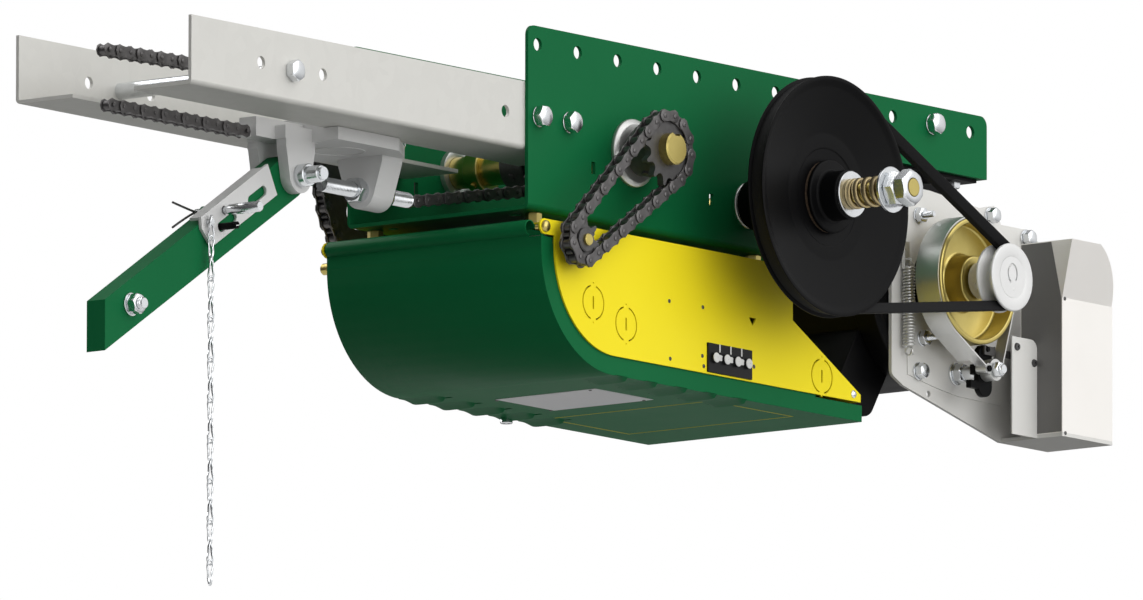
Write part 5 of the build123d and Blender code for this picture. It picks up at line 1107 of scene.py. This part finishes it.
def trolley_hardware():
    """The casting's finish and its cast oval, the door arm's pivot bolt and the chain's take-up screw."""
    finish_node("trolley_body", CASTING, 1.2)
    oval = facing("down", (-424, -6, -93.6))
    rim = [(19.5, 0.0), (19.5, 0.7), (20.3, 0.9), (21.1, 0.7), (21.1, 0.0)]
    piece("casting_oval", [turned(rim, oval, 72, ring=True)], CASTING, "trolley")
    carry = on_shaft(ARM_PIVOT)
    parts = [turned(profile, carry, 40) for profile in (
        [(7.2, 23.9), (8.0, 22.9), (8.0, 18.9), (4.95, 18.9), (4.95, -42.1)],
        [(8.2, -18.9), (8.9, -19.5), (8.9, -27.3), (8.2, -27.9)],
        [(6.7, -27.8), (6.7, -38.9), (6.0, -39.7)])]
    piece("arm_pivot_bolt", parts, BRIGHT_ZINC, "trolley", "arm_pivot_pin")
    along = facing("right", (0, 0, TAKE_UP_Z))
    rod = [threaded(5.9, -437, -327.5, 1.75, along, 28), hexagon_nut(18, -399, -391, along, bore=5.7),
           turned([(5.9, -391), (9, -391), (9, -389), (5.9, -389)], along, 36, ring=True),
           hexagon_nut(18, -364, -356, along, bore=5.7, turn=0.3)]
    tongue = slab(rectangle(-9, -4, 3.5, 4), -2.8, 2.8, on_shaft(TAKE_UP))
    piece("take_up_screw", [*rod, tongue], BRIGHT_ZINC, "trolley", "take_up_bolt")


def arm_hardware():
    """The finishes of the door arm and its latch, the arm's end bolt, and the latch's pins."""
    finish_node("door_arm", GREEN, 0.6)
    finish_node("release_latch", CASTING, 0.5)
    x, z = on_arm(232, 0)
    half_arm = 9
    parts = hex_bolt("far", (x, half_arm, z), 14.3, 6)
    parts.append(turned([(4.7, half_arm), (4.7, -half_arm)], on_shaft((x, z)), 24))
    carry = facing("near", (x, -half_arm, z))
    parts.append(flat_washer(4.7, 9, 1.6, carry))
    parts.append(hexagon_nut(14.3, 1.6, 9.6, carry, bore=4.5, turn=0.2))
    parts.append(threaded(4.75, 0, 14, 1.6, carry, 28))
    piece("arm_end_bolt", parts, BRIGHT_ZINC, "arm", "arm_bolt")
    profile = [(3.4, 15.6), (3.4, -9.0), (3.0, -9.2), (3.0, -15), (3.6, -15.8), (4.2, -17.5), (4.2, -46.2),
               (3.5, -47.2)]
    pin = turned(profile, on_shaft(LATCH_PIN), 40)
    piece("latch_release_pin", [pin], BRIGHT_ZINC, "arm", "release_pin")
    stop, cotter = latch_small_parts()
    piece("latch_stop_pin", stop, BLACK_ENAMEL, "arm", "latch_pins")
    piece("latch_cotter_pin", cotter, CHAIN_STEEL, "arm")


def latch_small_parts():
    """The slotted stop pin in the latch's slot, and the cotter with its round eye and splayed legs.

    The stop is a ring with a gap. A leg is straight for its first share and then bows away by a power curve.
    """
    gap = np.linspace(0.25, TURN - 0.25, 24)
    wall = [radius * np.stack([np.cos(turn), np.sin(turn)], -1)
            for radius, turn in ((2.8, gap), (1.7, gap[::-1]))]
    stop = [slab(np.concatenate(wall), -28, -9.1, on_shaft(on_arm(102.5, 5)))]
    x, z = LATCH_PIN
    y, leg, straight, wire_radius = 13.0, 38.6, 0.3, 0.95
    share = np.linspace(0, 1, 14)
    bow = np.clip((share - straight) / (1 - straight), 0, 1) ** 1.1
    loop = np.linspace(np.radians(200), np.radians(-160), 20)
    paths = [np.stack([x + 6 - leg * share, y + 0 * share, z + low + (rise - low) * bow], -1)
             for rise, low in ((4.5, 0.45), (-15, -0.45))]
    paths.append(np.stack([x + 8 + 2.1 * np.cos(loop), y + 0 * loop, z + 2.1 * np.sin(loop)], -1))
    return stop, [tube(path, wire(wire_radius, 8), guide=(0, 1, 0)) for path in paths]


def pull_chain():
    """Sash chain: flat figure-of-eight links bent from strip, each turned a quarter from the last.

    A link's half width is a cosine drawn in at the waist by a bell curve, and its strip twists with the
    sine of the way round, so that its two ends stand crosswise.
    """
    top_x, top_z = on_arm(116, 15)
    latch_face, latch_sheet, hook, clearance = -9.3, 2.7, 3.2, 0.3
    y = latch_face - latch_sheet - hook - clearance
    length, width, count = 15.7, 7.4, 18
    half = length / 2 + 1.9
    turn = np.linspace(0, TURN, 36, endpoint=False)
    waist = 1.0 - 0.42 * np.exp(-(np.sin(turn) * 2.2) ** 2)
    flat = (width / 2 - 0.9) * np.cos(turn) * waist
    twist = 0.85 * np.sin(turn)
    loop = np.stack([flat * np.cos(twist), flat * np.sin(twist), half * np.sin(turn)], -1)
    lean = np.stack([-np.sin(twist), np.cos(twist), 0 * twist], -1)
    strip = rounded([(-0.6, -1.05), (0.6, -1.05), (0.6, 1.05), (-0.6, 1.05)], 0.4, 2, closed=True)
    link = tube(loop, strip, closed=True, guide=lean)
    number = np.arange(count)
    middles = np.stack([np.full(count, top_x), np.full(count, y),
                        top_z + hook - length / 2 - number * length], -1)
    swing = number * np.pi / 2 + np.where(number % 2, 0.15, -0.2)
    across = np.stack([np.cos(swing), np.sin(swing), 0 * swing], -1)
    out = np.stack([np.sin(swing), -np.cos(swing), 0 * swing], -1)
    rivet = turned([(1.85, -9.1), (1.85, -16.0), (3.0, -16.0), (2.6, -16.8)], on_shaft((top_x, top_z)), 20)
    piece("sash_pull_chain", [copies(link, middles, across, out), rivet], BRIGHT_ZINC, "pull", "pull_chain")


# Sheet metal and box details on the model's own pieces

def sheet_metal():
    """The finishes of the model's own sheet and moulded pieces, each with the radius of its broken edges."""
    for node, finish, round_off in (
            ("chassis_frame", GREEN, 0.35), ("near_rail", RAIL_ZINC, 0.4), ("far_rail", RAIL_ZINC, 0.4),
            ("rail_spacer_tube", BRIGHT_ZINC, 0.0), ("motor_mount", BLACK_ENAMEL, 0.3),
            ("capacitor_housing", BLACK_ENAMEL, 1.2), ("far_end_plate", YELLOW, 0.25),
            ("box_end_panel", YELLOW, 0.25), ("box_cover", GREEN, 0.3), ("component_panel", RAIL_ZINC, 0.2),
            ("control_components", PALE_PLASTIC, 0.5), ("terminal_strip", BLACK_PLASTIC, 0.3),
            ("limit_switches", BLACK_PLASTIC, 0.2), ("limit_nuts", BLACK_PLASTIC, 0.3),
            ("clutch_linings", FRICTION, 0.0)):
        finish_node(node, finish, round_off)


KNOCKOUTS = ((-232.4, -198.4), (-190.7, -210.4), (60.7, -222.1))
PLATE_HOLES = ((-135.7, -185.8), (-92.8, -185.6), (-134.4, -231.0), (-93.4, -224.0), (-91.5, -231.9),
               (-27.1, -224.7))
BOX_ARC = (-205.0, -161.0)
BOX_LEFT, BOX_RIGHT = -281.1, 23.0


def plate_outline():
    """The end plate: flat top, notched right end, a quarter round at the left and the hinge tab's round."""
    quarter = np.linspace(-np.pi / 2, -np.pi, 24)
    corner = np.array(BOX_ARC) + 76.1 * np.stack([np.cos(quarter), np.sin(quarter)], -1)
    tab = np.linspace(np.radians(282), np.radians(78), 20)
    ring = np.array(HINGE) + 6.1 * np.stack([np.cos(tab), np.sin(tab)], -1)
    right = [(BOX_LEFT, BOX_TOP), (BOX_RIGHT, BOX_TOP), (BOX_RIGHT, -182.3), (111, -231), (111, -237.1)]
    return np.concatenate([right, corner, [(BOX_LEFT, HINGE[1] - 6)], ring, [(BOX_LEFT, BOX_TOP - 0.1)]])


def knockout(x, z, radius=13.9, gap=1.3):
    """A knock-out's two arc cuts, which leave a tie at top and bottom, its pry slot and its punch marks."""
    cuts = []
    for start in (-76, 104):
        turn = np.radians(np.linspace(start, start + 152, 22))
        outer = np.stack([x + radius * np.cos(turn), z + radius * np.sin(turn)], -1)
        inner = np.stack([x + (radius - gap) * np.cos(turn), z + (radius - gap) * np.sin(turn)], -1)[::-1]
        cuts.append(np.concatenate([outer, inner]))
    slot = slot_outline(x, z, 10.5, 1.8, np.pi / 2, 5)
    marks = [circle(x, z + side * (radius + 1.6), 0.7, 8) for side in (-1, 1)]
    return [*cuts, slot, *marks]


def near_plate():
    """The near end plate as one sheet with its openings cut through, and its lip under the chassis."""
    holes = [circle(*LIMIT, 6.9, 32), circle(*HINGE, 2.5, 20)]
    for x, z in KNOCKOUTS:
        holes += knockout(x, z)
    holes += [circle(x, z, 1.7, 14) for x, z in PLATE_HOLES]
    strip_window = rectangle(-87.7, -235.9, -30.9, -212.5)
    lance_cut = [(-33.5, -186.5), (-24.0, -186.5), (-28.8, -192.8)]
    sheet = slab(plate_outline(), NEAR_FACE, NEAR_FACE + BOX_SHEET, upright,
                 [*holes, strip_window, lance_cut])
    lip = slab(rectangle(BOX_LEFT, -106, BOX_RIGHT, -70), BOX_TOP - BOX_SHEET, BOX_TOP, laid_flat,
               [circle(x, -84, 4.4, 20) for x in (-270, 10)])
    lance = slab([(-33.5, -186.5), (-28.8, -182.6), (-24.0, -186.5)], NEAR_FACE - 0.2, NEAR_FACE + 1.2,
                 upright)
    piece("near_box_end", [sheet, lip, lance], YELLOW, "frame", "near_end_plate", soft=0.25)


def plate_screws():
    """The small screws that show as dark or bright dots in the near plate."""
    dot = [(1.6, -0.9), (1.6, 0.2), (1.1, 0.6), (0.5, 0.6), (0.5, 0.1)]
    parts = [turned(dot, facing("near", (x, NEAR_FACE, z)), 12) for x, z in PLATE_HOLES]
    piece("plate_screws", parts, BLACK_STEEL, "frame")
    head = [(1.5, -0.5), (3.1, 0), (3.1, 0.5), (2.3, 1.4), (0.9, 1.7)]
    corner = turned(head, facing("near", (101.5, NEAR_FACE, -231.6)), 24)
    piece("plate_corner_screw", [corner], BRIGHT_ZINC, "frame")


def terminal_comb():
    """Terminal screws on the black strip's studs, and the pale printed ribs and slots between them."""
    face, stud_rise, pitch, print_depth = -109.1, 2.2, 14.0, 0.2
    head = [(3.9, -0.6), (3.9, 0.3), (3.3, 0.7), (0.8, 0.7), (0.7, 0.3)]
    screws = [turned(head, facing("near", (-80 + pitch * i, face - stud_rise, -224.0)), 24)
              for i in range(4)]
    piece("terminal_screws", screws, WHITE_PRINT, "frame")
    marks = []
    for i in range(3):
        x = -73.0 + pitch * i
        rib = rectangle(x - 0.7, -219, x + 0.7, -212.9)
        for outline in (rib, slot_outline(x, -223.4, 7.6, 4.6, 0.0, 8)):
            marks.append(slab(outline, face - print_depth, face + print_depth, upright))
    piece("terminal_marks", marks, WHITE_PRINT, "frame")


def louver(x, side):
    """One pressed louver of the cover's floor: a hood that swells towards its open edge.

    Its drop is a power of the way to the open edge times the root of one less a sixth power across, which
    lets it fade at both ends.
    """
    along = np.linspace(0, 1, 9)[:, None]
    across = np.linspace(-1, 1, 17)[None, :]
    drop = 3.4 * along ** 1.3 * np.sqrt(np.clip(1 - across ** 6, 0, 1)) + 0.02
    a = x - 17 + 15 * along + 0 * across
    b = side * (89.6 + 17.4 * across) + 0 * along
    under = np.stack([a, b, COVER_FLOOR - drop], -1)
    inner = np.stack([a, b, COVER_FLOOR + 0.3 + 0 * drop], -1)
    return skin(np.concatenate([inner[::-1], under]), around=False, along=True)


def cover_details():
    """What is pressed into, printed on or screwed to the box cover."""
    hoods = [louver(-186 + 38 * i, side) for i in range(5) for side in (-1, 1)]
    piece("cover_louvers", hoods, GREEN, "cover", crease=60)
    below = facing("down", (0, 0, COVER_FLOOR))
    foil = slab(rectangle(-157, -47, -82.5, 51), 0.0, 0.4, below)
    piece("rating_plate", [foil], LABEL_FOIL, "cover", soft=0.1)
    pins = [turned([(1.4, 0.2), (1.4, 0.7), (0.8, 1.0)], facing("down", (x, y, COVER_FLOOR)), 10)
            for x in (-154, -85.5) for y in (-44, 48)]
    piece("rating_plate_pins", pins, BLACK_STEEL, "cover")
    border = slab(rectangle(-49, -81.5, 58, 81.5), 0.0, 0.12, below, [rectangle(-47.4, -79.9, 56.4, 79.9)])
    piece("notice_border", [border], YELLOW_PRINT, "cover")
    profile = [(2.0, -1), (2.0, 1.2), (4.6, 1.2), (4.9, 1.6), (4.9, 5.0), (4.4, 5.6), (1.5, 5.6), (1.2, 5.0)]
    knob = turned(profile, facing("down", (-77, 98.5, COVER_FLOOR)), 24)
    piece("cover_knurled_screw", [knob], BRIGHT_ZINC, "cover")


# Studio

def pale_floor():
    """The plain floor under the hanging operator, reach and height in metres.

    It is near white to the eye and to mirrors, mid grey for the light that it throws back, and clear from
    below, where the photograph's camera stands.
    """
    reach, height = 2.8, -1.4
    mesh = bpy.data.meshes.new("pale_floor")
    corners = [(x, y, height) for x, y in rectangle(-reach, -reach, reach, reach)]
    mesh.from_pydata(corners, [], [(0, 1, 2, 3)])
    finish, shader, _ = begin("pale_studio_floor", Roughness=0.8)
    rays = add(finish, "ShaderNodeLightPath")
    looked_at = add(finish, "ShaderNodeMath",
                    {0: rays.outputs["Is Camera Ray"], 1: rays.outputs["Is Glossy Ray"]}, operation="MAXIMUM")
    seen = add(finish, "ShaderNodeMath",
               {0: looked_at.outputs["Value"], 1: rays.outputs["Is Transmission Ray"]}, operation="MAXIMUM")
    tone = add(finish, "ShaderNodeMix", {0: seen.outputs["Value"], 6: ink("6C6C6B"), 7: ink("F4F4F3")},
               data_type="RGBA")
    finish.node_tree.links.new(tone.outputs[2], shader.inputs["Base Color"])
    glow = add(finish, "ShaderNodeMath", {0: rays.outputs["Is Camera Ray"], 1: 0.3}, operation="MULTIPLY")
    finish.node_tree.links.new(glow.outputs["Value"], shader.inputs["Emission Strength"])
    shader.inputs["Emission Color"].default_value = ink("FFFFFF")
    from_below = add(finish, "ShaderNodeNewGeometry").outputs["Backfacing"]
    clear = add(finish, "ShaderNodeBsdfTransparent")
    shown = add(finish, "ShaderNodeMixShader",
                {0: from_below, 1: shader.outputs["BSDF"], 2: clear.outputs["BSDF"]})
    finish.node_tree.links.new(shown.outputs["Shader"],
                               finish.node_tree.nodes["Material Output"].inputs["Surface"])
    mesh.materials.append(finish)
    floor = bpy.data.objects.new("pale_floor", mesh)
    bpy.context.scene.collection.objects.link(floor)


def studio():
    """A white room, brighter on the near right, a soft sun from near above, two near fills and a back sun.

    The room's light is a power of how far a direction leans to the near right, and falls off below the
    horizon. Mirrors see that room, the eye and clear glass see plain white, and matt faces get its glow
    over a low level.
    """
    scene = bpy.context.scene
    scene.view_settings.view_transform = "Standard"
    world = bpy.data.worlds.new("white_room")
    scene.world = world
    world.use_nodes = True
    tree = world.node_tree
    background = tree.nodes["Background"]
    background.inputs["Color"].default_value = (1, 1, 1, 1)
    rays = add(world, "ShaderNodeLightPath")
    way = add(world, "ShaderNodeTexCoord").outputs["Generated"]
    lean = add(world, "ShaderNodeVectorMath", {0: way, 1: (0.55, -0.78, 0.3)}, operation="DOT_PRODUCT")
    side = add(world, "ShaderNodeMapRange",
               {"Value": lean.outputs["Value"], "From Min": -1.0, "From Max": 1.0})
    wall = add(world, "ShaderNodeMath", {0: side.outputs["Result"], 1: 1.7}, operation="POWER")
    height = add(world, "ShaderNodeSeparateXYZ", {"Vector": way}).outputs["Z"]
    ground = add(world, "ShaderNodeMapRange",
                 {"Value": height, "From Min": -0.2, "From Max": 0.08, "To Min": 0.25})
    lit = add(world, "ShaderNodeMath", {0: wall.outputs["Value"], 1: ground.outputs["Result"]},
              operation="MULTIPLY")
    share = add(world, "ShaderNodeMapRange",
                {"Value": rays.outputs["Is Glossy Ray"], "To Min": 0.85, "To Max": 1.0})
    mirrored = add(world, "ShaderNodeMath", {0: share.outputs["Result"], 1: lit.outputs["Value"]},
                   operation="MULTIPLY")
    seen = add(world, "ShaderNodeMath",
               {0: rays.outputs["Is Camera Ray"], 1: rays.outputs["Is Transmission Ray"]},
               operation="MAXIMUM")
    shown = add(world, "ShaderNodeMath", {0: seen.outputs["Value"], 1: mirrored.outputs["Value"]},
                operation="MAXIMUM")
    level = add(world, "ShaderNodeMapRange",
                {"Value": shown.outputs["Value"], "To Min": 0.08, "To Max": 1.0})
    tree.links.new(level.outputs["Result"], background.inputs["Strength"])

    suns = (("key_sun", 1.0, 66, (-0.22, 0.8, -0.5)), ("front_fill", 0.5, 60, (0.05, 1.0, 0.02)),
            ("side_fill", 0.5, 50, (0.55, 0.83, 0.0)), ("back_sun", 1.6, 50, (0.1, -0.8, -0.55)))
    for name, energy, spread, towards in suns:
        light = bpy.data.lights.new(name, "SUN")
        light.energy = energy
        light.angle = np.radians(spread)
        lamp = bpy.data.objects.new(name, light)
        lamp.rotation_mode = "QUATERNION"
        lamp.rotation_quaternion = Vector(towards).to_track_quat("-Z", "Y")
        scene.collection.objects.link(lamp)


def camera():
    """The photograph's view: almost without perspective, from the left, near, a little below. In metres."""
    azimuth, elevation, roll = np.radians(-52.278), np.radians(-8.439), 0.00153
    distance = 21.821
    target = np.array([-0.12114, 0.0, -0.17362])
    out = np.array([np.sin(azimuth) * np.cos(elevation), -np.cos(azimuth) * np.cos(elevation),
                    np.sin(elevation)])
    right = np.cross((0, 0, 1), out)
    right /= np.linalg.norm(right)
    upward = np.cross(out, right)
    tilted_right = right * np.cos(roll) + upward * np.sin(roll)
    tilted_up = upward * np.cos(roll) - right * np.sin(roll)
    lens = bpy.data.cameras.new("photo_camera")
    lens.lens = 880
    lens.sensor_width = 36
    lens.clip_end = 60
    place = np.eye(4)
    place[:3, :3] = np.stack([tilted_right, tilted_up, out], 1)
    place[:3, 3] = target + out * distance
    seen_from = bpy.data.objects.new("photo_camera", lens)
    seen_from.matrix_world = Matrix(place.tolist())
    bpy.context.scene.collection.objects.link(seen_from)
    bpy.context.scene.camera = seen_from


sheet_metal()
near_plate()
plate_screws()
terminal_comb()
cover_details()
trolley_chains()
sprockets()
keyed_shaft()
flange_bearings()
limit_screw()
clutch_stack()
v_belt()
motor_drive()
motor_shell()
frame_fasteners()
motor_end_fasteners()
box_fasteners()
brake_parts()
trolley_hardware()
arm_hardware()
pull_chain()
pale_floor()
studio()
camera()
